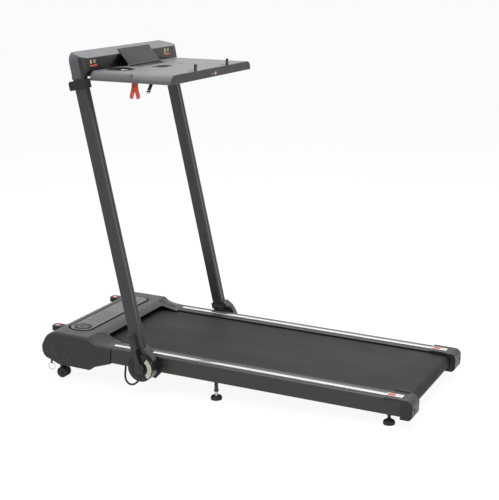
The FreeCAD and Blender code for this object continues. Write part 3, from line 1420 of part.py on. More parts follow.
def make_tray():
    wall = S.tray_wall
    top = S.tray_top
    under = top - wall
    front = 0 - S.tray_front
    rear = S.tray_rear - PLATE
    half = S.tray_half
    tray = piece("desk_tray", on_tray)
    slab(tray, "end", front, rear, rectangle(0 - half, 0 - S.tray_low, half, top))
    soften(tray, "end", S.tray_round, (half, top), (0 - half, top))
    right, left = tray_profile(wall, 0 - S.tray_low - 5.0)
    cut(tray, "end", front - 1.0, rear + 1.0, corners(*right, *left))

    flap_low = S.flap_centre - S.flap_wide / 2
    flap_high = S.flap_centre + S.flap_wide / 2
    groove_front = FLAP_X + FLAP_KNUCKLE + 1.0
    groove_rear = groove_front + S.groove_wide
    slab(
        tray, "top", top - S.groove_deep - wall, under + 0.5,
        rectangle(groove_front - wall, flap_low - wall, groove_rear + wall, flap_high + wall),
    )
    cut(
        tray, "top", top - S.groove_deep, top + 1.0,
        rectangle(groove_front, flap_low, groove_rear, flap_high),
    )
    cut(tray, "top", under - 1.0, top + 1.0, circle(*CUP, S.cup_radius))
    slit = band(groove_rear + 14.0, 80.0, 2.5, groove_rear + 72.0, 80.0, 2.5)
    cut(tray, "top", under - 1.0, top + 1.0, slit)
    oval = band(103.0, -53.0, 22.0, 103.0, -9.0, 22.0)
    cut(tray, "top", under - 1.0, top + 1.0, oval)
    for name, side in SIDES:
        low = S.stop_y * side - S.stop_wide / 2 - STOP_ROOM
        high = S.stop_y * side + S.stop_wide / 2 + STOP_ROOM
        slot = rectangle(S.stop_x - S.stop_tall - 4.5, low, S.stop_x + 3.5, high)
        cut(tray, "top", under - 1.0, top + 1.0, slot)
        drilled = circle(S.stop_x, STOP_HINGE, STOP_PIN + PIN_FIT)
        cut(tray, "side", low - 3.5, high + 3.5, drilled)
        lug = corners((-9.0, under + 0.5), (14.0, under + 0.5), (7.0, -5.0), (-5.0, -7.0))
        inner, outer = across(side, S.lug_v - S.lug_wide / 2, S.lug_v + S.lug_wide / 2)
        slab(tray, "side", inner, outer, lug)
        bore = circle(0.0, 0.0, S.hinge_pin + PIN_FIT)
        cut(tray, "side", inner - 0.3, outer + 0.3, bore)
    for low, high in ((flap_low - 6.0, flap_low - 0.5), (flap_high + 0.5, flap_high + 6.0)):
        ear = band(FLAP_X, top - 1.0, 3.0, FLAP_X, FLAP_Z, 3.0)
        slab(tray, "side", low, high, ear)
        cut(tray, "side", low - 1, high + 1, circle(FLAP_X, FLAP_Z, FLAP_PIN + PIN_FIT))
    rib = rectangle(1.5 - half, -8.0, 0 - S.tether_y + 6.0, under + 0.5)
    slab(tray, "end", S.clip_x - 1.5, S.clip_x + 1.5, rib)

    plate = piece("tray_rear_plate", on_tray)
    slab(plate, "end", rear, S.tray_rear, rectangle(0 - half, 0 - S.tray_low, half, top))
    soften(plate, "end", S.tray_round, (half, top), (0 - half, top))

    cup = piece("cup_holder", on_tray)
    rim = S.cup_radius
    floor = top - S.cup_deep
    turn(
        cup, "side", (CUP[0], CUP[1], 0.0),
        (rim - 3.0, top), (rim - 3.0, top + 1.4), (rim + 3.5, top + 1.4), (rim + 3.5, top),
        (rim - 0.5, top), (rim - 0.5, floor), (rim - 22.0, floor), (rim - 22.0, floor + 2.0),
        (rim - 3.0, floor + 2.0),
    )
    for across_x in (True, False):
        centre = CUP[1] if across_x else CUP[0]
        plane = "end" if across_x else "side"
        middle = CUP[0] if across_x else CUP[1]
        gap = rectangle(centre - 17.0, floor + 5.0, centre + 17.0, top - 4.0)
        cut(cup, plane, middle - rim - 5.0, middle + rim + 5.0, gap)

    pins = piece("tray_pins", on_tray)
    for name, side in SIDES:
        inner = S.lug_v - S.lug_wide / 2 - 5.5
        outer = S.lug_v + S.lug_wide / 2 + 1.0
        slab(pins, "side", *across(side, inner, outer), circle(0.0, 0.0, S.hinge_pin))
        low = S.stop_y * side - S.stop_wide / 2 - STOP_ROOM
        high = S.stop_y * side + S.stop_wide / 2 + STOP_ROOM
        slab(pins, "side", low - 3.0, high + 3.0, circle(S.stop_x, STOP_HINGE, STOP_PIN))
    slab(pins, "side", flap_low - 6.0, flap_high + 6.0, circle(FLAP_X, FLAP_Z, FLAP_PIN))


def make_tray_fittings():
    flap = piece("tablet_flap", on_flap)
    low = S.flap_centre - S.flap_wide / 2
    high = S.flap_centre + S.flap_wide / 2
    half = S.flap_thickness / 2
    slab(flap, "side", low, high, circle(0.0, 0.0, FLAP_KNUCKLE))
    leaf = rectangle(0 - half, 0.0, half, S.flap_reach)
    slab(flap, "side", low, high, leaf)
    doc.recompute()
    bore = circle(0.0, 0.0, FLAP_PIN + S.running_gap)
    cut(flap, "side", low - 1.0, high + 1.0, bore)

    for name, side in SIDES:
        stop = piece(f"laptop_stop_{name}", on_tray)
        inner = S.stop_y * side - S.stop_wide / 2
        outer = S.stop_y * side + S.stop_wide / 2
        thick = S.stop_thickness / 2
        slab(
            stop, "side", inner, outer,
            rectangle(S.stop_x - thick, STOP_HINGE, S.stop_x + thick, S.tray_top + S.stop_tall),
        )
        slab(stop, "side", inner, outer, circle(S.stop_x, STOP_HINGE, thick + 0.4))
        hole = circle(S.stop_x, STOP_HINGE, STOP_PIN + S.running_gap)
        cut(stop, "side", inner - 1.0, outer + 1.0, hole)

    x = S.clip_x
    y = 0 - S.tether_y
    pivot = -26.0
    jaw = [
        (1.9, -2.0), (4.5, -2.0), (8.0, -16.0), (9.0, pivot), (15.0, -50.0), (13.5, -57.0),
        (8.5, -58.5), (5.0, -45.0), (1.0, pivot - 8.0), (1.0, pivot + 3.0), (2.2, -13.0),
    ]
    body = piece("safety_clip_body", on_tray)
    slab(body, "side", y - 5.0, y + 5.0, corners(*[(x - a, b) for a, b in jaw]))
    cut(body, "side", y - 5.5, y + 5.5, circle(x, pivot, 4.1))
    slab(body, "side", y - 2.0, y + 2.0, circle(x, pivot, 3.8))
    slab(body, "side", y - 2.0, y + 2.0, rectangle(x - 5.5, pivot - 2.0, x, pivot + 2.0))
    slab(body, "side", y - 5.0, y + 5.0, circle(x, pivot, 1.2))
    lever = piece("safety_clip_jaw", on_tray)
    slab(lever, "side", y - 5.0, y + 5.0, corners(*[(x + a, b) for a, b in jaw]))
    cut(lever, "side", y - 2.3, y + 2.3, circle(x, pivot, 4.1))
    for low, high in ((y - 5.0, y - 2.3), (y + 2.3, y + 5.0)):
        slab(lever, "side", low, high, circle(x, pivot, 3.2))
        cut(lever, "side", low - 0.1, high + 0.1, circle(x, pivot, 1.2 + S.running_gap))


# ---------------------------------------------------------------- soft pieces

STRAP_ROUTE = [(2.5, 14.7), (2.5, -6.0), (-2.0, -20.0), (-8.0, -36.0)]
STRAP_WIDE = 12.0
STRAP_THICK = 1.6
CABLE_ROUTE = [
    (-84.6, -256.0, -16.3), (-85.2, -256.0, -29.5), (-83.5, -263.0, -41.5),
    (-79.5, -270.5, -53.0), (-72.5, -276.0, -63.5), (-59.5, -279.0, -71.0),
    (-45.0, -279.5, -69.5), (-33.0, -279.5, -60.5), (-24.6, -279.0, -48.5),
    (-18.1, -279.0, -35.75),
]


def tube_path(points):
    """Straight runs joined by tangent arcs, each as large as its two runs allow."""
    edges = []
    radii = []
    start = points[0]
    for before, here, after in zip(points, points[1:], points[2:]):
        one = before - here
        two = after - here
        half_turn = (math.pi - one.getAngle(two)) / 2
        trim = 0.45 * min(one.Length, two.Length)
        radius = trim / math.tan(half_turn)
        radii.append(radius)
        one.normalize()
        two.normalize()
        entry = here + one * trim
        leave = here + two * trim
        inward = (one + two).normalize()
        middle = here + inward * (radius / math.cos(half_turn) - radius)
        edges.append(Part.LineSegment(start, entry).toShape())
        edges.append(Part.Arc(entry, middle, leave).toShape())
        start = leave
    edges.append(Part.LineSegment(start, points[-1]).toShape())
    return Part.Wire(edges), radii


def make_soft():
    strap = doc.addObject("PartDesign::Body", "tether_strap")
    strap.Label = "tether_strap"
    on_tray(strap)
    PARTS.append(strap)
    half = STRAP_WIDE / 2
    right = [(S.strap_x + x + half, z) for x, z in STRAP_ROUTE]
    left = [(S.strap_x + x - half, z) for x, z in reversed(STRAP_ROUTE)]
    y = 0 - S.tether_y
    slab(strap, "side", y - STRAP_THICK / 2, y + STRAP_THICK / 2, corners(*right, *left))

    cable = doc.addObject("Part::Feature", "mast_cable")
    pivot = Vector(PIVOT_X.value, 0, PIVOT_Z.value)
    points = [pivot + Vector(*spot) for spot in CABLE_ROUTE]
    wire, radii = tube_path(points)
    radius = S.cable_radius.value
    section = Part.Wire(Part.Circle(points[0], points[1] - points[0], radius).toShape())
    cable.Shape = wire.makePipeShell([section], True, False)
    cable.Label = "mast_cable"
    cable.Placement = FreeCAD.Placement()
    PARTS.append(cable)
    print("cable arcs", [round(r, 1) for r in radii], "length", round(wire.Length, 1))
    print("cable volume ratio", cable.Shape.Volume / (math.pi * radius**2 * wire.Length))


# ---------------------------------------------------------------- build, check and write


def check_and_write():
    doc.recompute()
    for item in doc.Objects:
        if "Invalid" in item.State or "Error" in item.State:
            raise ValueError(f"{item.Label} failed to recompute: {item.State}")
    for item in PARTS:
        if item.Shape.isNull() or not item.Shape.isValid():
            raise ValueError(f"{item.Label} has no valid shape")
    os.makedirs("parts", exist_ok=True)
    low = Vector(1e9, 1e9, 1e9)
    high = Vector(-1e9, -1e9, -1e9)
    for item in PARTS:
        item.Shape.exportStep(f"parts/{item.Label}.step")
        box = item.Shape.BoundBox
        low = Vector(min(low.x, box.XMin), min(low.y, box.YMin), min(low.z, box.ZMin))
        high = Vector(max(high.x, box.XMax), max(high.y, box.YMax), max(high.z, box.ZMax))
    print(len(PARTS), "pieces; box", low, high)


make_frame()
make_rails()
make_rear_caps()
make_running_gear()
make_motor()
make_hood()
make_power()
make_ring()
make_wheels()
make_feet()
make_pivots()
make_posts()
make_collars()
make_console()
make_tray()
make_tray_fittings()
make_soft()
check_and_write()
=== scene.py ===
"""Folding treadmill with a desk tray: finishes, fittings, cable and studio for its frame."""
import json
import math

import bmesh
import bpy
import numpy as np
from bpy.props import FloatProperty, FloatVectorProperty, PointerProperty
from mathutils import Matrix, Vector

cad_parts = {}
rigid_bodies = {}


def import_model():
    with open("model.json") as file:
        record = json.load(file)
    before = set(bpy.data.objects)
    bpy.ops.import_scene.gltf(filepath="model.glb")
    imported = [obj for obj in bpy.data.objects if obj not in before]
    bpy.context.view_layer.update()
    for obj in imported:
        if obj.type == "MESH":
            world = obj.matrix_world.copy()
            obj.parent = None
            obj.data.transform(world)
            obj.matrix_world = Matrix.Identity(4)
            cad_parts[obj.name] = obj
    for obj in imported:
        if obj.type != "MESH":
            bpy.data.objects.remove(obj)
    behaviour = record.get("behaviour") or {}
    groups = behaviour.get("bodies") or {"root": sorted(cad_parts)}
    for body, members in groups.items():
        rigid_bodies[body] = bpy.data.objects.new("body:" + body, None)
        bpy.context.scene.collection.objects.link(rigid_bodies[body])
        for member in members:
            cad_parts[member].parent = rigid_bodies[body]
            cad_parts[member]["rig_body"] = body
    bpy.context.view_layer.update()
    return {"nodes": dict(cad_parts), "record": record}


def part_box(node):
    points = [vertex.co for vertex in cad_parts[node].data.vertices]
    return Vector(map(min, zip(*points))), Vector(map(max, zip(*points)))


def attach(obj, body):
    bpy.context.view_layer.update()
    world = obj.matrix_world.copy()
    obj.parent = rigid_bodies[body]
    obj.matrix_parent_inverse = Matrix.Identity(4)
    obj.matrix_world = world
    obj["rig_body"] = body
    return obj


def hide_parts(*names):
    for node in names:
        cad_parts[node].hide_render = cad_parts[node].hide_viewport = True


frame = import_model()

bl_info = {
    "name": "Folding treadmill",
    "version": (1, 0, 0),
    "blender": (4, 5, 0),
    "location": "View3D > Sidebar > Treadmill",
    "description": "Dresses the packed frame of a folding treadmill and lights it",
    "category": "Object",
}

MM = 0.001
# Degrees past which an edge stays sharp, metres within which points are one, and degrees of
# bend under which neighbouring faces are one.
CREASE = 32
WELD = 2e-6
FLAT = 0.5
JOINTS = {joint["name"]: joint for joint in frame["record"]["behaviour"]["joints"]}
SIDES = (("left", -1), ("right", 1))
FINISH = {}


# ---------------------------------------------------------------- frames of the object


class Lean:
    """A frame turned about the sideways axis, in millimetres: along, across and up.

    Row x = origin + along cos + up sin, row z = origin - along sin + up cos.
    """

    def __init__(self, origin, degrees):
        self.origin = np.array(origin, float)
        self.cos = math.cos(math.radians(degrees))
        self.sin = math.sin(math.radians(degrees))

    def row(self, points):
        """Points (..., 3) of this frame as row coordinates in metres."""
        along, across, up = np.moveaxis(np.asarray(points, float) * MM, -1, 0)
        x = self.origin[0] + along * self.cos + up * self.sin
        z = self.origin[2] - along * self.sin + up * self.cos
        return np.stack((x, self.origin[1] + across, z), axis=-1)


RAIL_HEIGHT = 58.45
DECK_PITCH = 2.664
MAST_LEAN = -12.14
TRAY_PITCH = 1.2
DECK = Lean((JOINTS["foot_middle_left_screw"]["pos_m"][0], 0.0, RAIL_HEIGHT * MM), DECK_PITCH)
MAST = Lean(JOINTS["mast_fold"]["pos_m"], MAST_LEAN)
HUB = Lean(JOINTS["mast_fold"]["pos_m"], 0.0)
TRAY = Lean(JOINTS["tray_fold"]["pos_m"], TRAY_PITCH)


# ---------------------------------------------------------------- outlines


def arc(x, y, radius, start, end, steps):
    """Points at the centre plus radius (cos a, sin a), with a even from start to end degrees."""
    a = np.radians(np.linspace(start, end, steps + 1))
    return np.column_stack((x + radius * np.cos(a), y + radius * np.sin(a)))


def disc(x, y, radius, steps=40):
    """A full circle, whose last point is left off because the outline closes itself."""
    return arc(x, y, radius, 0, 360, steps)[:-1]


def rounded(x, y, wide, tall, radius, steps=5):
    """A rectangle about its centre with a quarter circle at each corner."""
    a = wide / 2 - radius
    b = tall / 2 - radius
    corners = ((a, b, 0), (-a, b, 90), (-a, -b, 180), (a, -b, 270))
    return np.concatenate(
        [arc(x + i, y + j, radius, start, start + 90, steps) for i, j, start in corners]
    )


def sector(x, y, inner, outer, start, end, steps=28):
    """A stretch of a ring: its outer arc, then its inner arc back again."""
    out = arc(x, y, outer, start, end, steps)
    back = arc(x, y, inner, end, start, steps)
    return np.concatenate((out, back))


def polygon(sides, across_flats, steps):
    """A regular polygon sampled at even angles: radius = apothem / cos(angle off the flat)."""
    a = np.linspace(0.0, 2 * np.pi, steps, endpoint=False)
    flat = 2 * np.pi / sides
    off = (a + flat / 2) % flat - flat / 2
    radius = across_flats / 2 / np.cos(off)
    return np.column_stack((radius * np.cos(a), radius * np.sin(a)))


def outward(outline):
    """The unit normal at each point of a closed outline, square to the run of its neighbours."""
    run = np.roll(outline, -1, 0) - np.roll(outline, 1, 0)
    normal = np.column_stack((run[:, 1], -run[:, 0]))
    return normal / np.linalg.norm(normal, axis=1)[:, None]


def inset(outline, distance):
    """A closed outline moved inwards along its normals."""
    return outline - outward(outline) * distance


# ---------------------------------------------------------------- surfaces


def quads(rows, columns, closed_rows=False):
    """Faces of a grid of points numbered row by row, whose columns close into rings."""
    row = np.arange(rows if closed_rows else rows - 1)[:, None]
    column = np.arange(columns)[None, :]
    below = (row + 1) % rows
    beside = (column + 1) % columns
    faces = np.stack(
        (
            row * columns + column, row * columns + beside,
            below * columns + beside, below * columns + column,
        ),
        axis=-1,
    )
    return faces.reshape(-1, 4).tolist()


def stack(rings, capped=True):
    """Rings of points, each the same length, joined into a skin and closed by two end faces."""
    count = len(rings[0])
    faces = quads(len(rings), count, closed_rows=not capped)
    if capped:
        last = (len(rings) - 1) * count
        faces.append(list(range(count))[::-1])
        faces.append(list(range(last, last + count)))
    return np.concatenate(rings), faces


def level(outline, height):
    """An outline lifted to a height."""
    return np.column_stack((outline, np.full(len(outline), height)))


def prism(outline, low, high, ease=0.1):
    """An outline raised from low to high, its top edge chamfered by ease."""
    rim = inset(outline, ease)
    return stack((level(outline, low), level(outline, high - ease), level(rim, high)))


def ring_prism(outer, inner, low, high, ease=0.1):
    """The room between two outlines of as many points, raised from low to high."""
    return stack(
        (
            level(outer, low), level(outer, high - ease), level(inset(outer, ease), high),
            level(inset(inner, -ease), high), level(inner, high - ease), level(inner, low),
        ),
        capped=False,
    )


def lathe(profile, steps=48):
    """A profile of (radius, height) turned about the height axis: x = r cos a, y = r sin a."""
    a = np.linspace(0.0, 2 * np.pi, steps, endpoint=False)
    rings = [np.column_stack((r * np.cos(a), r * np.sin(a), np.full(steps, h))) for r, h in profile]
    return stack(rings)


def hoop(outline, radius, steps=10):
    """A round wire along a closed flat outline: point + radius (cos b normal + sin b up)."""
    b = np.linspace(0.0, 2 * np.pi, steps, endpoint=False)
    flat = outline[:, None, :] + radius * np.cos(b)[None, :, None] * outward(outline)[:, None, :]
    lift = np.broadcast_to(radius * np.sin(b)[None, :], flat.shape[:2])
    return stack(list(np.dstack((flat, lift))), capped=False)


def thread(radius, depth, pitch, low, high, steps=32, rows_per_turn=6):
    """A screw thread: r = radius + depth times a triangle wave of height / pitch - turn."""
    a = np.linspace(0.0, 1.0, steps, endpoint=False)
    heights = np.arange(low, high, pitch / rows_per_turn)
    rings = []
    for height in heights:
        phase = (height / pitch - a) % 1.0
        r = radius + depth * (1 - np.abs(2 * phase - 1))
        turn = 2 * np.pi * a
        rings.append(np.column_stack((r * np.cos(turn), r * np.sin(turn), np.full(steps, height))))
    return stack(rings)


def lay(shape, origin, first, second):
    """A shape whose x, y and height run along first, second and their cross product."""
    points, faces = shape
    basis = np.stack((first, second, np.cross(first, second))).astype(float)
    return points @ basis + np.array(origin, float), faces


def on_side(shape, u, v, w, side):
    """A shape laid on an upright side face, so that its height runs outwards."""
    return lay(shape, (u, v * side, w), (1, 0, 0), (0, 0, -side))


def shift(shape, x, y, height=0.0):
    """A shape moved in its own plane."""
    return shape[0] + np.array((x, y, height)), shape[1]


def merge(shapes):
    """Several shapes as one, their faces renumbered."""
    points = []
    faces = []
    count = 0
    for some_points, some_faces in shapes:
        points.append(some_points)
        faces += [[index + count for index in face] for face in some_faces]
        count += len(some_points)
    return np.concatenate(points), faces


def plates(u, v, rows, low, high):
    """Plates, each (along, across, long, wide, corner) from a point, raised from low to high."""
    return merge([prism(rounded(u + a, v + b, *size), low, high) for a, b, *size in rows])


# ---------------------------------------------------------------- pieces


def settle(obj, finish, body, crease=CREASE):
    """Gives an object its finish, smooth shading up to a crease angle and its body."""
    mesh = obj.data
    mesh.materials.clear()
    mesh.materials.append(FINISH[finish])
    mesh.shade_smooth()
    mesh.set_sharp_from_angle(angle=math.radians(crease))
    bpy.context.scene.collection.objects.link(obj)
    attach(obj, body)
    return obj


def piece(name, shape, lean, finish, body, crease=CREASE):
    """A new piece from a shape in millimetres of a leaning frame."""
    points, faces = shape
    mesh = bpy.data.meshes.new(name)
    mesh.from_pydata(lean.row(points).tolist(), [], faces)
    mesh.update()
    return settle(bpy.data.objects.new(name, mesh), finish, body, crease)


def eased(node, width, finish, crease=CREASE, segments=2):
    """A CAD node's own form with its sharp edges rounded over, standing for the node."""
    source = frame["nodes"][node]
    mesh = source.data.copy()
    work = bmesh.new()
    work.from_mesh(mesh)
    bmesh.ops.remove_doubles(work, verts=work.verts, dist=WELD)
    bmesh.ops.dissolve_limit(
        work, angle_limit=math.radians(FLAT), verts=work.verts, edges=work.edges
    )
    work.to_mesh(mesh)
    work.free()
    obj = bpy.data.objects.new(f"{node}_eased", mesh)
    bevel = obj.modifiers.new("eased edges", "BEVEL")
    bevel.width = width * MM
    bevel.segments = segments
    bevel.limit_method = "ANGLE"
    bevel.angle_limit = math.radians(crease)
    bevel.use_clamp_overlap = True
    bevel.harden_normals = True
    settle(obj, finish, source["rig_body"], crease)
    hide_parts(node)


def finish_node(finish, *nodes):
    """The CAD nodes keep their form and take a finish."""
    for node in nodes:
        mesh = frame["nodes"][node].data
        mesh.materials.clear()
        mesh.materials.append(FINISH[finish])


# ---------------------------------------------------------------- finishes


def new_node(tree, kind, sockets, **settings):
    """A shader node, its settings made and each of its sockets given a value or a link."""
    node = tree.nodes.new(f"ShaderNode{kind}")
    for name, value in settings.items():
        setattr(node, name, value)
    for socket, value in sockets.items():
        if isinstance(value, bpy.types.NodeSocket):
            tree.links.new(value, node.inputs[socket])
        else:
            node.inputs[socket].default_value = value
    return node


class Finish:
    """A material on a piece's own coordinates, built up from noise, colour and relief."""

    def __init__(self, name, roughness, metallic=0.0, **sockets):
        material = bpy.data.materials.new(name)
        material.use_nodes = True
        self.tree = material.node_tree
        self.shader = self.tree.nodes["Principled BSDF"]
        self.shader.inputs["Roughness"].default_value = roughness
        self.shader.inputs["Metallic"].default_value = metallic
        for socket, value in sockets.items():
            self.shader.inputs[socket.replace("_", " ")].default_value = value
        self.place = self.node("TexCoord", {}).outputs["Object"]
        self.relief = None
        FINISH[name] = material

    def node(self, kind, sockets, **settings):
        """A new node of this material."""
        return new_node(self.tree, kind, sockets, **settings)

    def give(self, socket, value):
        """Links a value to one of the shader's sockets."""
        self.tree.links.new(value, self.shader.inputs[socket])

    def noise(self, grain, detail=2.0, stretch=None, rough=0.5):
        """Cloudy noise whose grains are some millimetres across, drawn out by stretch."""
        place = self.place
        if stretch:
            place = self.node("Mapping", {"Scale": stretch, "Vector": place}).outputs["Vector"]
        scale = 1.0 / (grain * MM)
        sockets = {"Scale": scale, "Detail": detail, "Roughness": rough, "Vector": place}
        return self.node("TexNoise", sockets).outputs["Fac"]

    def cells(self, size):
        """Rounded cells some millimetres across, for leathery and pebbled skins."""
        sockets = {"Scale": 1.0 / (size * MM), "Vector": self.place}
        return self.node("TexVoronoi", sockets, feature="SMOOTH_F1").outputs["Distance"]

    def bands(self, pitch, direction, source=None):
        """Even bands across a direction, one every pitch millimetres."""
        sockets = {"Scale": math.pi / (10.0 * pitch * MM), "Vector": source or self.place}
        return self.node("TexWave", sockets, bands_direction=direction).outputs["Fac"]

    def between(self, value, low, high, start=0.3, end=0.7):
        """Runs from low to high while a value passes from start to end."""
        sockets = {"From Min": start, "From Max": end, "To Min": low, "To Max": high}
        return self.node("MapRange", {**sockets, "Value": value}).outputs["Result"]

    def multiply(self, first, second):
        """The product of two values."""
        return self.node("Math", {0: first, 1: second}, operation="MULTIPLY").outputs["Value"]

    def tint(self, value, dark, light, start=0.3, end=0.7):
        """The base colour runs from dark to light with a value."""
        ramp = self.node("ValToRGB", {"Fac": value})
        stops = ramp.color_ramp.elements
        for index, (place, colour) in enumerate(((start, dark), (end, light))):
            stops[index].position = place
            stops[index].color = (*colour, 1.0)
        self.give("Base Color", ramp.outputs["Color"])

    def reach(self, lean, direction):
        """How far each point lies along a direction from a leaning frame's origin, in metres."""
        dot = self.node("VectorMath", {0: self.place, 1: direction}, operation="DOT_PRODUCT")
        sockets = {0: dot.outputs["Value"], 1: float(np.dot(lean.origin, direction))}
        return self.node("Math", sockets, operation="SUBTRACT").outputs["Value"]

    def film(self, value, start, end, colour):
        """Lays a second colour over the base colour where a value passes from start to end."""
        under = self.shader.inputs["Base Color"].links[0].from_socket
        sockets = {0: self.between(value, 0.0, 1.0, start, end), 6: under, 7: (*colour, 1.0)}
        self.give("Base Color", self.node("Mix", sockets, data_type="RGBA").outputs[2])

    def polish(self, value, low, high):
        """The roughness runs from low to high with a value."""
        self.give("Roughness", self.between(value, low, high))

    def bump(self, value, depth, strength):
        """Relief some millimetres deep, laid over the relief before it."""
        sockets = {"Distance": depth * MM, "Strength": strength, "Height": value}
        if self.relief:
            sockets["Normal"] = self.relief
        self.relief = self.node("Bump", sockets).outputs["Normal"]
        self.give("Normal", self.relief)


def shade(colour, factor):
    """A colour made darker or lighter."""
    return tuple(channel * factor for channel in colour)


def moulded(name, colour, roughness, grain, depth, **sockets):
    """Moulded plastic: a fine spark-eroded grain, faint flow clouds and uneven sheen."""
    finish = Finish(name, roughness, **sockets)
    clouds = finish.noise(70.0, 3.0)
    finish.tint(clouds, shade(colour, 0.9), shade(colour, 1.1))
    finish.polish(finish.noise(22.0, 4.0), roughness - 0.05, roughness + 0.06)
    finish.bump(finish.cells(grain), depth, 0.6)
    finish.bump(finish.noise(grain * 0.45, 1.0), depth * 0.4, 0.5)
    return finish


def glossy(name, colour, roughness, **sockets):
    """Gloss plastic or printed film: a slight orange peel and faint handling marks."""
    finish = Finish(name, roughness, **sockets)
    finish.tint(finish.noise(40.0, 2.0), shade(colour, 0.93), shade(colour, 1.07))
    finish.polish(finish.noise(14.0, 5.0), roughness, roughness + 0.08)
    finish.bump(finish.noise(3.0, 1.0), 0.01, 0.4)


def coated(name, colour, roughness):
    """Powder coat on steel: an orange-peel skin with a fine sparkle in its sheen."""
    finish = Finish(name, roughness, Specular_IOR_Level=0.55)
    finish.tint(finish.noise(55.0, 3.0), shade(colour, 0.92), shade(colour, 1.08))
    finish.polish(finish.noise(0.8, 1.0), roughness - 0.05, roughness + 0.08)
    finish.bump(finish.noise(1.3, 1.5), 0.03, 0.55)


def metal(name, colour, roughness, stretch=None, grain=0.5, relief=0.004):
    """Bare metal drawn or brushed along one way: streaks in its sheen and its relief."""
    finish = Finish(name, roughness, metallic=1.0)
    streaks = finish.noise(grain, 3.0, stretch)
    finish.tint(streaks, shade(colour, 0.9), shade(colour, 1.05))
    finish.polish(streaks, roughness * 0.75, roughness * 1.35)
    finish.bump(streaks, relief, 0.5)


def rubber(name, colour, roughness=0.7):
    """Moulded rubber: matt, with a dusty bloom and a faint skin."""
    finish = Finish(name, roughness)
    finish.tint(finish.noise(18.0, 5.0), shade(colour, 0.85), shade(colour, 1.25))
    finish.polish(finish.noise(9.0, 4.0), roughness - 0.08, roughness + 0.1)
    finish.bump(finish.noise(0.7, 2.0), 0.04, 0.5)


def belt_skin(name, colour):
    """Tread belt: a close pebbled weave with a broad, faint wear pattern."""
    finish = Finish(name, 0.66, Specular_IOR_Level=0.25)
    speckle = finish.noise(1.6, 3.0, rough=0.7)
    finish.tint(speckle, shade(colour, 0.78), shade(colour, 1.22), 0.35, 0.65)
    finish.polish(finish.noise(120.0, 3.0, (0.35, 1.0, 1.0)), 0.56, 0.68)
    weave = finish.multiply(finish.bands(1.5, "X"), finish.bands(1.5, "Y"))
    finish.bump(weave, 0.12, 0.5)
    finish.bump(finish.noise(0.8, 2.0), 0.05, 0.5)


def webbing(name, colour):
    """Woven strap: a plain weave on the strap's own map, with fuzzy threads."""
    finish = Finish(name, 0.85, Sheen_Weight=0.4)
    own = finish.node("UVMap", {}).outputs["UV"]
    weave = finish.multiply(finish.bands(0.9, "X", own), finish.bands(0.9, "Y", own))
    finish.tint(weave, shade(colour, 0.6), shade(colour, 1.5), 0.1, 0.9)
    finish.bump(weave, 0.25, 0.8)
    finish.bump(finish.noise(0.3, 2.0), 0.05, 0.6)


SLIP_FILM = (0.012, 0.012, 0.012)
FILM_FOOT = 0.6
FILM_TOP = 0.4


def board_skin(name, colour):
    """Pressed fibreboard with short fibres drawn out along the deck, black on its top face.

    The black slip film starts and ends some tenths of a millimetre under the board's top.
    """
    finish = Finish(name, 0.6)
    fibres = finish.noise(2.5, 5.0, (0.25, 1.0, 1.0), 0.65)
    finish.tint(fibres, shade(colour, 0.7), shade(colour, 1.2))
    low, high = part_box("deck_board")
    up = (DECK.sin, 0.0, DECK.cos)
    top = (low.x - DECK.origin[0]) * up[0] + (high.z - DECK.origin[2]) * up[2]
    finish.film(finish.reach(DECK, up), top - FILM_FOOT * MM, top - FILM_TOP * MM, SLIP_FILM)
    finish.bump(fibres, 0.05, 0.5)


# ---------------------------------------------------------------- settings


def colour_setting(name, words, value):
    """A colour that a user may change."""
    return FloatVectorProperty(
        name=name, description=words, subtype="COLOR", size=3, min=0.0, max=1.0, default=value
    )


def size_setting(name, words, millimetres):
    """A length that a user may change."""
    return FloatProperty(name=name, description=words, default=millimetres * MM, unit="LENGTH")


def power_setting(name, words, watts):
    """A lamp's power that a user may change."""
    return FloatProperty(name=name, description=words, default=watts, unit="POWER")


class TreadmillColours(bpy.types.PropertyGroup):
    """Colours of the treadmill's finishes."""

    hood: colour_setting("Hood", "Front hood, belly pan and rear caps", (0.026, 0.027, 0.025))
    panel: colour_setting("Panel", "Control panel on the hood", (0.118, 0.119, 0.116))
    rail: colour_setting("Rails", "Side rails", (0.021, 0.0217, 0.0195))
    belt: colour_setting("Belt", "Running belt", (0.0145, 0.0148, 0.0146))
    post: colour_setting("Posts", "Posts and their castings", (0.026, 0.028, 0.032))
    console: colour_setting("Console", "Console housing", (0.084, 0.088, 0.097))
    tray: colour_setting("Tray", "Desk tray", (0.12, 0.124, 0.13))
    black: colour_setting("Black", "Levers, cup holder and small mouldings", (0.012, 0.012, 0.013))
    red: colour_setting("Red", "Safety clip", (0.88, 0.085, 0.05))
    dial: colour_setting("Dial", "Pale strip of the pivot dials", (0.72, 0.74, 0.42))


class TreadmillSizes(bpy.types.PropertyGroup):
    """Sizes of the small fittings that the scene adds."""

    grille_radius: size_setting("Grille", "Radius of the loudspeaker grille", 27.0)
    grille_pitch: size_setting("Grille pitch", "Spacing of the grille's holes", 5.2)
    dial_radius: size_setting("Dial", "Outer radius of the dial plate on each hub", 40.5)
    thread_pitch: size_setting("Thread pitch", "Pitch of the levelling feet's screws", 1.5)
    disc_radius: size_setting("Side disc", "Round cover on each side of the hood", 25.0)


class TreadmillStudio(bpy.types.PropertyGroup):
    """Light and camera."""

    key: power_setting("Key", "Power of the main lamp", 38.0)
    fill: power_setting("Fill", "Power of the side lamp", 14.0)
    top: power_setting("Top", "Power of the overhead lamp", 105.0)
    ambient: FloatProperty(
        name="Ambient", description="Level of the surrounding light", default=0.32
    )
    lens: FloatProperty(
        name="Lens", description="Focal length of the camera", default=92.07, unit="CAMERA"
    )


# ---------------------------------------------------------------- studio

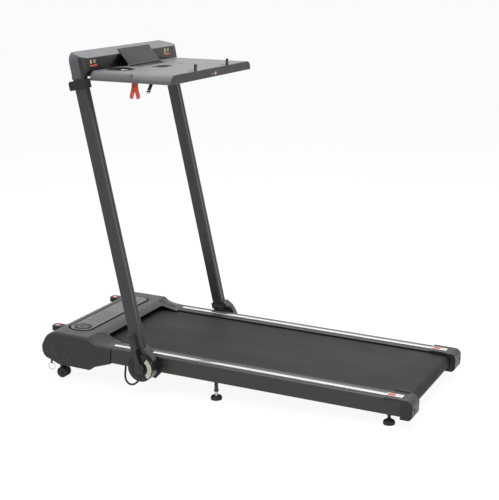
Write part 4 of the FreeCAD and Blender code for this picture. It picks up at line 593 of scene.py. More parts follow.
WHITE = (1.0, 1.0, 1.0, 1.0)
FLOOR_ALBEDO = 0.6
FLOOR_GLOW = 0.8
FLOOR_HALF = 40.0
GLOW_STRENGTH = 1.155
# Name of a lamp's setting, side of its square and its place, all in metres.
LAMPS = (
    ("key", 2.2, (-1.0, -2.4, 3.2)),
    ("fill", 2.0, (3.0, -1.8, 1.6)),
    ("top", 3.0, (0.2, 0.5, 3.5)),
)
LAMP_TARGET = (0.0, 0.0, 0.45)
# The camera's turn from straight across the machine, dip and roll in degrees, and its place in
# metres from the floor midway between the middle feet.
CAMERA_ACROSS = 23.543
CAMERA_DOWN = 13.066
CAMERA_ROLL = -0.347
CAMERA_PLACE = (1.56307, -3.58359, 1.31735)


def area_lamp(name, size, power, place, target):
    """A soft square lamp that faces a target."""
    lamp = bpy.data.lights.new(name, "AREA")
    lamp.size = size
    lamp.energy = power
    obj = bpy.data.objects.new(name, lamp)
    obj.location = place
    aim = Vector(target) - Vector(place)
    obj.rotation_euler = aim.to_track_quat("-Z", "Y").to_euler()
    bpy.context.scene.collection.objects.link(obj)


def seen_directly(tree):
    """One where a camera, glossy or transmission ray looks, and nought for diffuse light."""
    path = new_node(tree, "LightPath", {})
    total = path.outputs["Is Camera Ray"]
    for kind in ("Is Glossy Ray", "Is Transmission Ray"):
        either = new_node(tree, "Math", {0: total, 1: path.outputs[kind]}, operation="MAXIMUM")
        total = either.outputs["Value"]
    return total


def light_world(ambient):
    """A white surround, at full level where it is seen and lower where it lights."""
    world = bpy.data.worlds.new("studio surround")
    world.use_nodes = True
    tree = world.node_tree
    sockets = {"To Min": ambient, "To Max": 1.0, "Value": seen_directly(tree)}
    spread = new_node(tree, "MapRange", sockets)
    background = tree.nodes["Background"]
    background.inputs["Color"].default_value = WHITE
    tree.links.new(spread.outputs["Result"], background.inputs["Strength"])
    bpy.context.scene.world = world


def lay_floor():
    """A wide pale floor that keeps a soft shadow: part matt, part glowing where it is seen."""
    mesh = bpy.data.meshes.new("studio_floor")
    corners = [(-1, -1), (1, -1), (1, 1), (-1, 1)]
    mesh.from_pydata(
        [(x * FLOOR_HALF, y * FLOOR_HALF, 0.0) for x, y in corners], [], [(0, 1, 2, 3)]
    )
    floor = bpy.data.objects.new("studio_floor", mesh)
    bpy.context.scene.collection.objects.link(floor)
    material = bpy.data.materials.new("pale floor")
    material.use_nodes = True
    tree = material.node_tree
    matt = new_node(tree, "BsdfDiffuse", {"Color": (*(FLOOR_ALBEDO,) * 3, 1.0)})
    glow = new_node(tree, "Emission", {"Color": WHITE, "Strength": GLOW_STRENGTH})
    share = new_node(tree, "Math", {0: seen_directly(tree), 1: FLOOR_GLOW}, operation="MULTIPLY")
    sockets = {
        "Fac": share.outputs["Value"], 1: matt.outputs["BSDF"], 2: glow.outputs["Emission"]
    }
    mix = new_node(tree, "MixShader", sockets)
    tree.links.new(mix.outputs["Shader"], tree.nodes["Material Output"].inputs["Surface"])
    mesh.materials.append(material)


def place_camera(lens):
    """A camera off the left side and towards the rear, looking a little down."""
    across = math.radians(CAMERA_ACROSS)
    down = math.radians(CAMERA_DOWN)
    roll = math.radians(CAMERA_ROLL)
    forward = Vector(
        (-math.sin(across) * math.cos(down), math.cos(across) * math.cos(down), -math.sin(down))
    )
    level_right = Vector((math.cos(across), math.sin(across), 0.0))
    level_up = level_right.cross(forward)
    right = level_right * math.cos(roll) + level_up * math.sin(roll)
    up = right.cross(forward)
    data = bpy.data.cameras.new("camera")
    data.lens = lens
    data.sensor_width = 36.0
    data.clip_end = 200.0
    camera = bpy.data.objects.new("camera", data)
    turn = Matrix((right, up, -forward)).transposed().to_4x4()
    x, y, z = CAMERA_PLACE
    camera.matrix_world = Matrix.Translation((DECK.origin[0] + x, y, z)) @ turn
    bpy.context.scene.collection.objects.link(camera)
    bpy.context.scene.camera = camera


class TREADMILL_OT_studio(bpy.types.Operator):
    """Floor, surround, lamps and camera"""

    bl_idname = "treadmill.studio"
    bl_label = "Studio"

    def execute(self, context):
        studio = context.scene.treadmill_studio
        light_world(studio.ambient)
        lay_floor()
        place_camera(studio.lens)
        for name, size, place in LAMPS:
            area_lamp(f"{name}_lamp", size, getattr(studio, name), place, LAMP_TARGET)
        context.scene.view_settings.view_transform = "Standard"
        return {"FINISHED"}


# The dark band on the console's rear corners: millimetres behind the mast's pivot line at which
# it starts, length over which it comes in, and colour.
CORNER_START = 10.5
CORNER_BLEND = 1.0
CORNER_DARK = (0.008, 0.008, 0.0085)
SATIN = (0.02, 1.0, 1.0)


class TREADMILL_OT_finishes(bpy.types.Operator):
    """Materials of the whole machine"""

    bl_idname = "treadmill.finishes"
    bl_label = "Finishes"

    def execute(self, context):
        colours = context.scene.treadmill_colours
        moulded("hood plastic", colours.hood, 0.38, 0.9, 0.04, Specular_IOR_Level=0.4)
        moulded("cap plastic", shade(colours.hood, 0.9), 0.4, 0.9, 0.05, Specular_IOR_Level=0.35)
        moulded("panel plastic", colours.panel, 0.36, 0.7, 0.03)
        moulded("console plastic", colours.console, 0.32, 0.8, 0.03)
        ends = moulded("console end plastic", colours.console, 0.32, 0.8, 0.03)
        rearward = ends.reach(MAST, (MAST.cos, 0.0, -MAST.sin))
        end = CORNER_START + CORNER_BLEND
        ends.film(rearward, CORNER_START * MM, end * MM, CORNER_DARK)
        moulded("tray plastic", colours.tray, 0.4, 0.8, 0.04)
        moulded("black plastic", colours.black, 0.46, 0.8, 0.05, Specular_IOR_Level=0.35)
        moulded("seam shadow", (0.004, 0.004, 0.004), 0.85, 0.8, 0.02, Specular_IOR_Level=0.05)
        moulded("rear plate plastic", (0.018, 0.0185, 0.019), 0.5, 0.8, 0.04)
        moulded("flap plastic", (0.02, 0.0203, 0.021), 0.5, 0.6, 0.04, Specular_IOR_Level=0.35)
        moulded("icon print", (0.22, 0.225, 0.23), 0.4, 0.5, 0.01)
        moulded("tick print", (0.13, 0.135, 0.135), 0.45, 0.5, 0.01)
        moulded("window plastic", (0.03, 0.031, 0.032), 0.18, 0.5, 0.005)
        moulded("dial border", (0.8, 0.81, 0.8), 0.4, 0.5, 0.01)
        moulded("dial strip", colours.dial, 0.35, 0.5, 0.01)
        moulded("circuit board", (0.03, 0.16, 0.07), 0.35, 1.5, 0.05)
        glossy("fascia gloss", (0.006, 0.006, 0.0065), 0.2, Specular_IOR_Level=0.35)
        glossy("red plastic", colours.red, 0.25, Subsurface_Weight=0.15, Subsurface_Scale=0.002)
        glossy("red film", (0.62, 0.06, 0.05), 0.3)
        glossy("white film", (0.82, 0.82, 0.8), 0.3)
        glossy("amber film", (0.75, 0.46, 0.1), 0.3)
        glossy("orange film", (0.68, 0.16, 0.04), 0.3)
        glossy("grey film", (0.28, 0.27, 0.27), 0.3)
        coated("post coat", colours.post, 0.36)
        coated("casting coat", shade(colours.post, 0.6), 0.24)
        coated("rail coat", colours.rail, 0.4)
        coated("frame paint", (0.014, 0.014, 0.015), 0.42)
        metal("bright trim", (0.9, 0.9, 0.9), 0.2, SATIN, 1.2, 0.001)
        metal("satin lip", (0.2, 0.2, 0.2), 0.5, SATIN, 1.2, 0.001)
        metal("brushed steel", (0.5, 0.5, 0.51), 0.32, (1.0, 0.05, 1.0), 0.5)
        metal("plated steel", (0.6, 0.6, 0.62), 0.26)
        metal("blackened steel", (0.03, 0.03, 0.032), 0.4)
        metal("nickel wire", (0.42, 0.41, 0.38), 0.3)
        metal("brass", (0.75, 0.52, 0.2), 0.28)
        rubber("rubber", (0.013, 0.013, 0.013))
        rubber("cable sheath", (0.01, 0.01, 0.0105), 0.42)
        belt_skin("belt skin", colours.belt)
        webbing("strap webbing", (0.012, 0.012, 0.0125))
        board_skin("deck board", (0.32, 0.23, 0.14))
        return {"FINISHED"}


# ---------------------------------------------------------------- cable and strap

# Points of the cable's middle line in millimetres from the mast's pivot.
CABLE_ROUTE = (
    (-84.6, -256, -16.3), (-85.2, -256, -29.5), (-83.5, -263, -41.5), (-79.5, -270.5, -53),
    (-72.5, -276, -63.5), (-59.5, -279, -71), (-45, -279.5, -69.5), (-33, -279.5, -60.5),
    (-24.6, -279, -48.5), (-18.1, -279, -35.75),
)
CABLE_RADIUS = 3.2
# The strap's line (along, up) from its place under the tray (along, across), and its section.
STRAP_ROUTE = ((2.5, 13.0), (2.5, -6.0), (-2.0, -20.0), (-8.0, -36.0))
STRAP_PLACE = (185.0, -262.0)
STRAP_SECTION = (11.6, 1.4, 0.65)
BUCKLE = (14.0, 8.0, 3.0)
BUCKLE_WIRE = 1.0


class TREADMILL_OT_cable(bpy.types.Operator):
    """Cable loop that carries the console's wires into the left pivot"""

    bl_idname = "treadmill.cable"
    bl_label = "Cable"

    def execute(self, context):
        points = HUB.row(CABLE_ROUTE)
        curve = bpy.data.curves.new("pivot_cable", "CURVE")
        curve.dimensions = "3D"
        curve.bevel_depth = CABLE_RADIUS * MM
        curve.bevel_resolution = 6
        curve.resolution_u = 12
        curve.use_fill_caps = True
        spline = curve.splines.new("NURBS")
        spline.points.add(len(points) - 1)
        spline.points.foreach_set("co", np.column_stack((points, np.ones(len(points)))).ravel())
        spline.order_u = 3
        spline.use_endpoint_u = True
        curve.materials.append(FINISH["cable sheath"])
        cable = bpy.data.objects.new("pivot_cable", curve)
        context.scene.collection.objects.link(cable)
        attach(cable, "base")
        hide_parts("mast_cable")
        return {"FINISHED"}


def strap_line(t):
    """A smooth line through the strap's route: a cubic fitted to it, at t from 0 to 1."""
    route = np.array(STRAP_ROUTE)
    knots = np.linspace(0.0, 1.0, len(route))
    return np.column_stack([np.polyval(np.polyfit(knots, route[:, k], 3), t) for k in (0, 1)])


class TREADMILL_OT_tether(bpy.types.Operator):
    """Woven strap under the tray with its wire buckle"""

    bl_idname = "treadmill.tether"
    bl_label = "Tether strap"

    def execute(self, context):
        x, y = STRAP_PLACE
        line = strap_line(np.linspace(0.0, 1.0, 25))
        section = rounded(0.0, 0.0, *STRAP_SECTION, 4)
        rings = [
            np.column_stack((x + px + section[:, 0], y + section[:, 1], np.full(len(section), pz)))
            for px, pz in line[::-1]
        ]
        strap = stack(rings)
        strap = piece("tether_webbing", strap, TRAY, "strap webbing", "tray", 50)
        mesh = strap.data
        spots = np.empty(len(mesh.vertices) * 3)
        mesh.vertices.foreach_get("co", spots)
        corners = np.empty(len(mesh.loops), int)
        mesh.loops.foreach_get("vertex_index", corners)
        spots = spots.reshape(-1, 3)[corners]
        layer = mesh.uv_layers.new(name="weave")
        layer.data.foreach_set("uv", np.column_stack((spots[:, 0], spots[:, 2])).ravel())
        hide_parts("tether_strap")
        end = line[-1]
        buckle = hoop(rounded(0.0, 0.0, *BUCKLE), BUCKLE_WIRE)
        buckle = lay(buckle, (x + end[0], y, end[1] + 1.5), (0.96, 0, 0.28), (-0.28, 0, 0.96))
        piece("tether_buckle", buckle, TRAY, "plated steel", "tray")
        return {"FINISHED"}


# ---------------------------------------------------------------- deck

STICKER_U = 555.5
STICKER_V = 239.5
CAP_TOP = 51.6
TRIM_V = 239.5
TRIM_HALF = 7.8
TRIM_RUN = (-356.5, 531.0)
RAIL_TOP = 48.9
CROWN_HIGH = 2.2
CROWN_FALL = 0.7
CROWN_EDGE = 1.2
EDGE_HIGH = 1.1
LIP_AWAY = 3.2
LIP_WIDE = 5.6
LIP_HIGH = 2.05
LIP_EASE = 0.7
# The plain patch on each rear cap: name, finish, slot, foot and top over the cap, and plates.
CAP_PATCHES = (
    ("cap_patch", "white film", "tray_grey", -0.1, 0.2, ((0.0, 0.0, 49.0, 23.0, 1.5),)),
    ("cap_patch_red", "red film", "red_plastic", 0.1, 0.3, ((-9.5, 0.0, 24.0, 17.0, 1.0),)),
    (
        "cap_patch_bars", "grey film", "panel_grey", 0.1, 0.3,
        tuple((13.0, step, 11.0, 1.6, 0.5) for step in (-4.0, 0.0, 4.0)),
    ),
)


def satin_lips(v):
    """A pair of low satin bands beside a bright strip, on the ridges of the rail."""
    start, end = TRIM_RUN
    size = (end - start, LIP_WIDE, 0.8)
    return [
        prism(
            rounded((start + end) / 2, v + step, *size), RAIL_TOP - 0.1, RAIL_TOP + LIP_HIGH,
            LIP_EASE,
        )
        for step in (-TRIM_HALF - LIP_AWAY, TRIM_HALF + LIP_AWAY)
    ]


def crowned_strip(v):
    """A strip along the deck with flat edges each side of a low crown.

    The crown's height is its middle height less its fall times (across / half width)^2.
    """
    half = TRIM_HALF
    across = np.linspace(half - CROWN_EDGE, CROWN_EDGE - half, 11)
    height = RAIL_TOP + CROWN_HIGH - CROWN_FALL * (across / half) ** 2
    edge = RAIL_TOP + EDGE_HIGH
    foot = (
        (v - half, RAIL_TOP), (v + half, RAIL_TOP), (v + half, edge),
        (v + half - 1.0, edge + 0.2),
    )
    back = ((v - half + 1.0, edge + 0.2), (v - half, edge))
    section = np.concatenate((foot, np.column_stack((v + across, height)), back))
    return stack([np.column_stack((np.full(len(section), u), section)) for u in TRIM_RUN[::-1]])


class TREADMILL_OT_deck(bpy.types.Operator):
    """Belt, rails, bright strips, rear caps and their plain two-colour patches"""

    bl_idname = "treadmill.deck"
    bl_label = "Deck"

    def execute(self, context):
        eased("running_belt", 0.4, "belt skin")
        strips = merge([crowned_strip(TRIM_V * side) for _, side in SIDES])
        trims = piece("bright_strips", strips, DECK, "bright trim", "base", 25)
        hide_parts("foot_rail_trims")
        lips = merge(satin_lips(TRIM_V) + satin_lips(-TRIM_V))
        piece("rail_lips", lips, DECK, "satin lip", "base", 25)
        for name, side in SIDES:
            eased(f"side_rail_{name}", 0.6, "rail coat")
            eased(f"rear_cap_{name}", 1.6, "cap plastic", segments=3)
            for patch, finish, slot, low, high, rows in CAP_PATCHES:
                shape = plates(STICKER_U, STICKER_V * side, rows, CAP_TOP + low, CAP_TOP + high)
                piece(f"{patch}_{name}", shape, DECK, finish, "base")
        return {"FINISHED"}


WHEEL_CAP = ((7.5, 0.0), (7.5, 0.5), (6.8, 1.0), (3.4, 1.3), (3.0, 2.0), (1.2, 2.3))
# Place of a pair of feet, tops of their screws, feet of their nuts, and both finishes.
FEET = (
    ("middle", 32.4, 32.4 - 6.6, "plated steel", "frame paint"),
    ("rear", 24.0, 12.05, "blackened steel", "blackened steel"),
)
SCREW_FOOT = 12.0
SCREW_RADIUS = 4.15
THREAD_DEPTH = 0.5
NUT_ACROSS = 13.0
NUT_BORE = 4.75
NUT_HIGH = 6.0


class TREADMILL_OT_undercarriage(bpy.types.Operator):
    """Frame, crossmembers, wheels and the levelling feet with their screws and nuts"""

    bl_idname = "treadmill.undercarriage"
    bl_label = "Undercarriage"

    def execute(self, context):
        pitch = context.scene.treadmill_sizes.thread_pitch / MM
        for node in ("frame_tubes", "crossmembers", "motor_plate", "wheel_forks"):
            eased(node, 0.8, "frame paint")
        for name, side in SIDES:
            eased(f"transport_wheel_{name}", 0.4, "rubber")
            wheel = Lean(JOINTS[f"wheel_{name}_spin"]["pos_m"], 0.0)
            low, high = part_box(f"transport_wheel_{name}")
            cap = on_side(lathe(WHEEL_CAP, 36), 0.0, (high.y - low.y) / 2 / MM, 0.0, side)
            body = f"wheel_{name}"
            piece(f"wheel_cap_{name}", cap, wheel, "black plastic", body)
        for where, top, nut_foot, plating, nut_finish in FEET:
            for name, _ in SIDES:
                foot = f"foot_{where}_{name}"
                eased(f"levelling_foot_{where}_{name}", 0.5, "rubber")
                stand = Lean(JOINTS[f"{foot}_screw"]["pos_m"], 0.0)
                screw = thread(SCREW_RADIUS, THREAD_DEPTH, pitch, SCREW_FOOT, top)
                piece(f"{foot}_screw", screw, stand, plating, foot, 60)
                hexagon = polygon(6, NUT_ACROSS, 36)
                bore = disc(0.0, 0.0, NUT_BORE, 36)
                nut = ring_prism(hexagon, bore, nut_foot, nut_foot + NUT_HIGH, 0.5)
                piece(f"{foot}_nut", nut, stand, nut_finish, foot)
        return {"FINISHED"}


# ---------------------------------------------------------------- hood

HOOD_SIDE = 272.0
HOOD_TOP = 68.7
HOOD_NOSE = -604.0
HOOD_CREST = -441.0
HOOD_MOUTH = -412.0
HOOD_SEAM = -357.0
HOOD_DROP = 19.2
HOOD_WALL = 3.0
HOOD_EDGE = 9.0
HOOD_CREASE = 28
HOOD_WELD = 1e-5
SLOPE_POWER = 0.85
# Where the slope starts to give way across the wing, over what width, and how far the hollow
# takes to fall.
HOLLOW_START = 205.0
HOLLOW_WIDE = 60.0
HOLLOW_FALL = 19.0
NOSE_RADIUS = 50.0
# Degrees above the nose's foot over which a sunk edge comes in.
NOSE_FADE = 30.0
# Heights of the parting line at the nose and at the seam, and its level run from the nose.
PARTING = (12.6, 24.0)
PARTING_LEVEL = 80.0
WING_V = 189.0
WING_CORNER = 14.0
# The oval scoop in each wing: its middle (along, across), its half axes and its depth.
SCOOP = (-409.0, 213.0, 31.0, 24.0, 7.5)
PANEL_TOP = 70.1
PANEL_BOX = (-510.5, 0.0, 73.0, 426.0, 28.0)
PANEL_WINDOW = (-510.0, -50.0, 44.0, 118.0, 5.0)
PANEL_LAMPS = ((-529, -39), (-525, -63), (-530, -85), (-486, -52), (-490, -14))
GRILLE = (-510.0, -177.0)
SIDE_DISC = (-552.0, 14.5)
SIDE_SCREWS = ((-505.5, 8.7), (-440.0, -4.0), (-380.0, 14.0))
SCREW_HEAD = ((3.4, -0.3), (3.4, 0.2), (2.6, 0.7), (1.4, 0.8), (1.2, 0.1))
# The plain patch on each bumper: name, finish, slot, foot and top, and plates.
BUMPER_U = -596.5
BUMPER_V = 188.0
BUMPER_PATCHES = (
    ("bumper_patch", "red film", "red_plastic", 64.9, 65.25, ((0.0, 0.0, 15.0, 20.0, 1.5),)),
    ("bumper_dot", "white film", "tray_grey", 65.2, 65.4, ((0.0, -3.0, 8.0, 8.0, 1.0),)),
)


def smooth_step(t):
    """The rise 3 t^2 - 2 t^3 from nought to one, flat outside."""
    t = np.clip(t, 0.0, 1.0)
    return t * t * (3 - 2 * t)


def hood_height(u, v):
    """Top of the hood: flat up to its crest, then a soft slope to the mouth.

    Towards each side the slope gives way to a hollow curve that falls as an exponential, and
    an oval scoop is pressed into each wing, its depth the height of an ellipsoid.
    """
    past = np.maximum(u - HOOD_CREST, 0.0)
    slope = HOOD_DROP * smooth_step((past / (HOOD_SEAM - HOOD_CREST)) ** SLOPE_POWER)
    hollow = HOOD_DROP * (1 - np.exp(-past / HOLLOW_FALL))
    side = smooth_step((abs(v) - HOLLOW_START) / HOLLOW_WIDE)
    middle_u, middle_v, half_u, half_v, depth = SCOOP
    far_u = (u - middle_u) / half_u
    far_v = (abs(v) - middle_v) / half_v
    scoop = depth * np.sqrt(np.maximum(1 - far_u**2 - far_v**2, 0.0))
    return HOOD_TOP - slope * (1 - side) - hollow * side - scoop


def hood_ring(v, end, sink, walled):
    """One side profile of the hood at v: nose arc, top and slope, then back underneath.

    The profile is sunk inwards by sink, and its return runs a wall's thickness inside, or along
    the parting line where the ring lies in a side wall.
    """
    x, y = HOOD_NOSE + NOSE_RADIUS, HOOD_TOP - NOSE_RADIUS
    level_run = np.linspace(x, HOOD_CREST - 12.0, 6)[1:]
    slope_run = np.arange(HOOD_CREST - 9.0, HOOD_SEAM, 2.9)
    run = np.minimum(np.concatenate((level_run, slope_run, (HOOD_SEAM,))), end)
    turn = np.radians(np.linspace(180, 90, 13))
    fade = smooth_step((np.degrees(turn) - (180.0 - NOSE_FADE)) / NOSE_FADE)
    radius = NOSE_RADIUS - sink * (1 - fade)
    nose = np.column_stack((x + radius * np.cos(turn), y + radius * np.sin(turn)))
    top = np.column_stack((run, hood_height(run, v) - sink))
    foot = np.array(((HOOD_NOSE, PARTING[0]),))
    outer = np.concatenate((foot, nose, top))
    if walled:
        along = outer[:, 0] - HOOD_NOSE - PARTING_LEVEL
        rise = np.clip(along / (HOOD_SEAM - HOOD_NOSE - PARTING_LEVEL), 0.0, 1.0)
        rise = (PARTING[1] - PARTING[0]) * rise
        under = np.column_stack((outer[:, 0], PARTING[0] + rise))
    else:
        nose = arc(x, y, NOSE_RADIUS - sink - HOOD_WALL, 180, 90, 12)
        foot = foot + np.array((HOOD_WALL, 0.0))
        under = np.concatenate((foot, nose, top - np.array((0.0, HOOD_WALL))))
    outline = np.concatenate((outer, under[::-1]))
    return np.column_stack((outline[:, 0], np.full(len(outline), v), outline[:, 1]))


def hood_shell():
    """The hood as side profiles from the left wall to the right one.

    The outer edges sink by r - sqrt(r^2 - x^2) over the last r millimetres, and the mouth's end
    runs back round a quarter circle to each wing.
    """
    stations = []
    for x in HOOD_EDGE * np.sin(np.radians(np.linspace(90, 0, 7))):
        v = HOOD_SIDE - HOOD_EDGE + x
        sink = HOOD_EDGE - math.sqrt(HOOD_EDGE**2 - x * x)
        stations.append((v, HOOD_SEAM, sink, x > HOOD_EDGE - HOOD_WALL))
    turn = next(i for i, station in enumerate(stations) if not station[3])
    v, end, sink, _ = stations[turn]
    stations.insert(turn, (v, end, sink, True))
    for v in np.linspace(HOOD_SIDE - HOOD_EDGE, WING_V, 26)[1:]:
        stations.append((v, HOOD_SEAM, 0.0, False))
    for a in np.radians(np.linspace(0, 90, 7)):
        v = WING_V - WING_CORNER * (1 - math.cos(a))
        stations.append((v, HOOD_MOUTH + WING_CORNER * (1 - math.sin(a)), 0.0, False))
    for v in (120.0, 60.0):
        stations.append((v, HOOD_MOUTH, 0.0, False))
    left = [hood_ring(-v, *rest) for v, *rest in stations]
    right = [hood_ring(v, *rest) for v, *rest in reversed(stations)]
    return stack(left + [hood_ring(0.0, HOOD_MOUTH, 0.0, False)] + right)


def welded(obj):
    """Merges the points of a piece that coincide and turns its faces outwards."""
    work = bmesh.new()
    work.from_mesh(obj.data)
    bmesh.ops.remove_doubles(work, verts=work.verts, dist=HOOD_WELD)
    bmesh.ops.dissolve_degenerate(work, dist=HOOD_WELD, edges=work.edges)
    bmesh.ops.recalc_face_normals(work, faces=work.faces)
    work.to_mesh(obj.data)
    work.free()
    obj.data.shade_smooth()
    obj.data.set_sharp_from_angle(angle=math.radians(HOOD_CREASE))


def panel_edge(grow):
    """The control panel's outline, grown outwards."""
    u, v, long, wide, corner = PANEL_BOX
    return rounded(u, v, long + 2 * grow, wide + 2 * grow, corner + grow, 9)


def grille(radius, pitch):
    """Rings with hexagonal outsides on a honeycomb, each round one hole, inside a circle."""
    reach = int(radius / pitch) + 2
    i, j = np.meshgrid(np.arange(-reach, reach), np.arange(-reach, reach))
    x = (pitch * (i + j / 2)).ravel()
    y = (pitch * j * math.sqrt(3) / 2).ravel()
    inside = np.hypot(x, y) < radius - pitch * 0.7
    flat = polygon(6, pitch - 0.05, 24)
    cell = ring_prism(flat, disc(0.0, 0.0, pitch * 0.33, 24), 0.0, 0.8, 0.05)
    return [shift(cell, a, b) for a, b in zip(x[inside], y[inside])]


class TREADMILL_OT_hood(bpy.types.Operator):
    """Hood, belly pan, side discs, screws, storage bumpers and their plain patches"""

    bl_idname = "treadmill.hood"
    bl_label = "Hood"

    def execute(self, context):
        radius = context.scene.treadmill_sizes.disc_radius / MM
        shell = hood_shell()
        shell = piece("hood_shell", shell, DECK, "hood plastic", "base", HOOD_CREASE)
        welded(shell)
        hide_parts("hood_cover")
        eased("belly_pan", 1.6, "hood plastic")
        eased("storage_bumpers", 2.0, "black plastic", segments=3)
        cover = lathe(
            [
                (radius, -0.3), (radius, 0.4), (radius - 0.5, 0.9), (radius - 1.8, 0.9),
                (radius - 2.4, 0.2), (radius - 3.2, 0.2), (radius - 4.0, 1.0), (2.0, 1.2),
            ],
            64,
        )
        head = lathe(SCREW_HEAD, 24)
        for name, side in SIDES:
            u, w = SIDE_DISC
            disc_cover = on_side(cover, u, HOOD_SIDE, w, side)
            piece(f"hood_disc_{name}", disc_cover, DECK, "hood plastic", "base", 50)
            heads = merge([on_side(head, u, HOOD_SIDE, w, side) for u, w in SIDE_SCREWS])
            piece(f"hood_screws_{name}", heads, DECK, "black plastic", "base")
            for patch, finish, slot, low, high, rows in BUMPER_PATCHES:
                shape = plates(BUMPER_U, BUMPER_V * side, rows, low, high)
                piece(f"{patch}_{name}", shape, DECK, finish, "base")
        return {"FINISHED"}


class TREADMILL_OT_control_panel(bpy.types.Operator):
    """Control panel with its seam, loudspeaker grille, smoked window and lamps"""

    bl_idname = "treadmill.control_panel"
    bl_label = "Control panel"

    def execute(self, context):
        sizes = context.scene.treadmill_sizes
        radius = sizes.grille_radius / MM
        top = PANEL_TOP
        eased("control_panel", 0.6, "panel plastic", crease=50)
        hole = panel_edge(0.05)
        groove = ring_prism(panel_edge(6.5), hole, HOOD_TOP - 0.3, HOOD_TOP + 0.15)
        skirt = ring_prism(panel_edge(0.6), hole, HOOD_TOP - 0.3, top - 0.35, 0.2)
        well = prism(disc(*GRILLE, radius, 56), top - 0.1, top + 0.12)
        cells = grille(radius, sizes.grille_pitch / MM)
        mesh = merge([shift(cell, *GRILLE, top + 0.1) for cell in cells])
        outer, inner = disc(*GRILLE, radius + 1.8, 56), disc(*GRILLE, radius - 0.4, 56)
        rim = ring_prism(outer, inner, top - 0.1, top + 0.9, 0.3)
        window = prism(rounded(*PANEL_WINDOW), top - 0.1, top + 0.2)
        lamps = [prism(disc(u, v, 1.5, 20), top + 0.1, top + 0.35) for u, v in PANEL_LAMPS]
        for name, shape, finish, slot in (
            ("panel_seam", merge([groove, skirt]), "seam shadow", "black_plastic"),
            ("grille_well", well, "seam shadow", "black_plastic"),
            ("grille_mesh", mesh, "panel plastic", "panel_grey"),
            ("grille_rim", rim, "black plastic", "black_plastic"),
            ("panel_window", window, "window plastic", "gloss_black"),
            ("panel_lamps", merge(lamps), "icon print", "panel_grey"),
        ):
            piece(name, shape, DECK, finish, "base")
        return {"FINISHED"}


FERRULE = ((2.6, -1.6), (3.1, -1.2), (3.1, 1.2), (2.6, 1.6))
FERRULE_LIFT = 2.4


class TREADMILL_OT_front_fittings(bpy.types.Operator):
    """Mains inlet and switch, pull ring and the brass ferrule over it"""

    bl_idname = "treadmill.front_fittings"
    bl_label = "Front fittings"

    def execute(self, context):
        eased("power_inlet", 0.4, "black plastic")
        eased("power_switch", 0.5, "black plastic")
        finish_node("nickel wire", "pull_ring")
        eye = Lean(JOINTS["pull_ring_swing"]["pos_m"], 0.0)
        wire_top = (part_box("pull_ring")[1].z - eye.origin[2]) / MM
        sleeve = lay(lathe(FERRULE, 28), (0.0, 0.0, wire_top + FERRULE_LIFT), (1, 0, 0), (0, 1, 0))
        piece("ring_ferrule", sleeve, eye, "brass", "base")
        return {"FINISHED"}


# ---------------------------------------------------------------- mast

HUB_FACE = 318.0
DIAL_BORE = 17.4
DIAL_RIM = 42.2
# The pale window of a dial: how far its middle lies below the pivot, then inner and outer radius
# and start and end in degrees of its border and of the strip in it.
DIAL_DROP = -2.0
DIAL_BORDER = (24.5, 38.2, -50, 56)
DIAL_STRIP = (28.2, 34.4, -43, 49)
TICK_RADII = (31.5, 37.5)
TICK_HALF = 1.3


def on_hub(shape, side):
    """A shape drawn as seen on the left hub's face, carried to that face or its mirror image."""
    points, faces = shape
    row = np.stack((points[:, 0], side * (HUB_FACE + points[:, 2]), points[:, 1]), axis=-1)
    if side > 0:
        faces = [face[::-1] for face in faces]
    return row, faces


class TREADMILL_OT_pivots(bpy.types.Operator):
    """Castings, brackets, lock levers and the dial on each hub"""

    bl_idname = "treadmill.pivots"
    bl_label = "Pivots"

    def execute(self, context):
        radius = context.scene.treadmill_sizes.dial_radius / MM
        for name, side in SIDES:
            eased(f"pivot_bracket_{name}", 0.8, "frame paint")
            eased(f"pivot_casting_{name}", 1.4, "casting coat", segments=3)
            eased(f"lock_lever_{name}", 0.9, "casting coat", segments=3)
            bore, edge = disc(0, 0, DIAL_BORE, 72), disc(0, 0, radius, 72)
            rim = ring_prism(disc(0, 0, DIAL_RIM, 72), disc(0, 0, radius + 0.4, 72), -0.3, 0.5, 0.2)
            spans = [(a - TICK_HALF, a + TICK_HALF) for a in range(172, 290, 13)]
            ticks = [sector(0.0, 0.0, *TICK_RADII, *span, 2) for span in spans]
            ticks = merge([prism(tick, 0.3, 0.6, 0.05) for tick in ticks])
            plate = ring_prism(edge, bore, -0.3, 0.4, 0.25)
            border = prism(sector(0.0, DIAL_DROP, *DIAL_BORDER), 0.3, 0.6)
            strip = prism(sector(0.0, DIAL_DROP, *DIAL_STRIP), 0.55, 0.75)
            for part, shape, finish, slot in (
                ("plate", plate, "black plastic", "black_plastic"),
                ("rim", rim, "casting coat", "casting"),
                ("border", border, "dial border", "tray_grey"),
                ("strip", strip, "dial strip", "tray_grey"),
                ("ticks", ticks, "tick print", "panel_grey"),
            ):
                piece(f"dial_{part}_{name}", on_hub(shape, side), HUB, finish, "mast")
        return {"FINISHED"}


class TREADMILL_OT_posts(bpy.types.Operator):
    """Posts and their clamp collars"""

    bl_idname = "treadmill.posts"
    bl_label = "Posts"

    def execute(self, context):
        for name, _ in SIDES:
            eased(f"post_{name}", 0.4, "post coat", crease=40)
            eased(f"collar_lever_{name}", 0.8, "black plastic", segments=3)
        eased("post_collars", 0.8, "black plastic", segments=3)
        return {"FINISHED"}


# ---------------------------------------------------------------- console

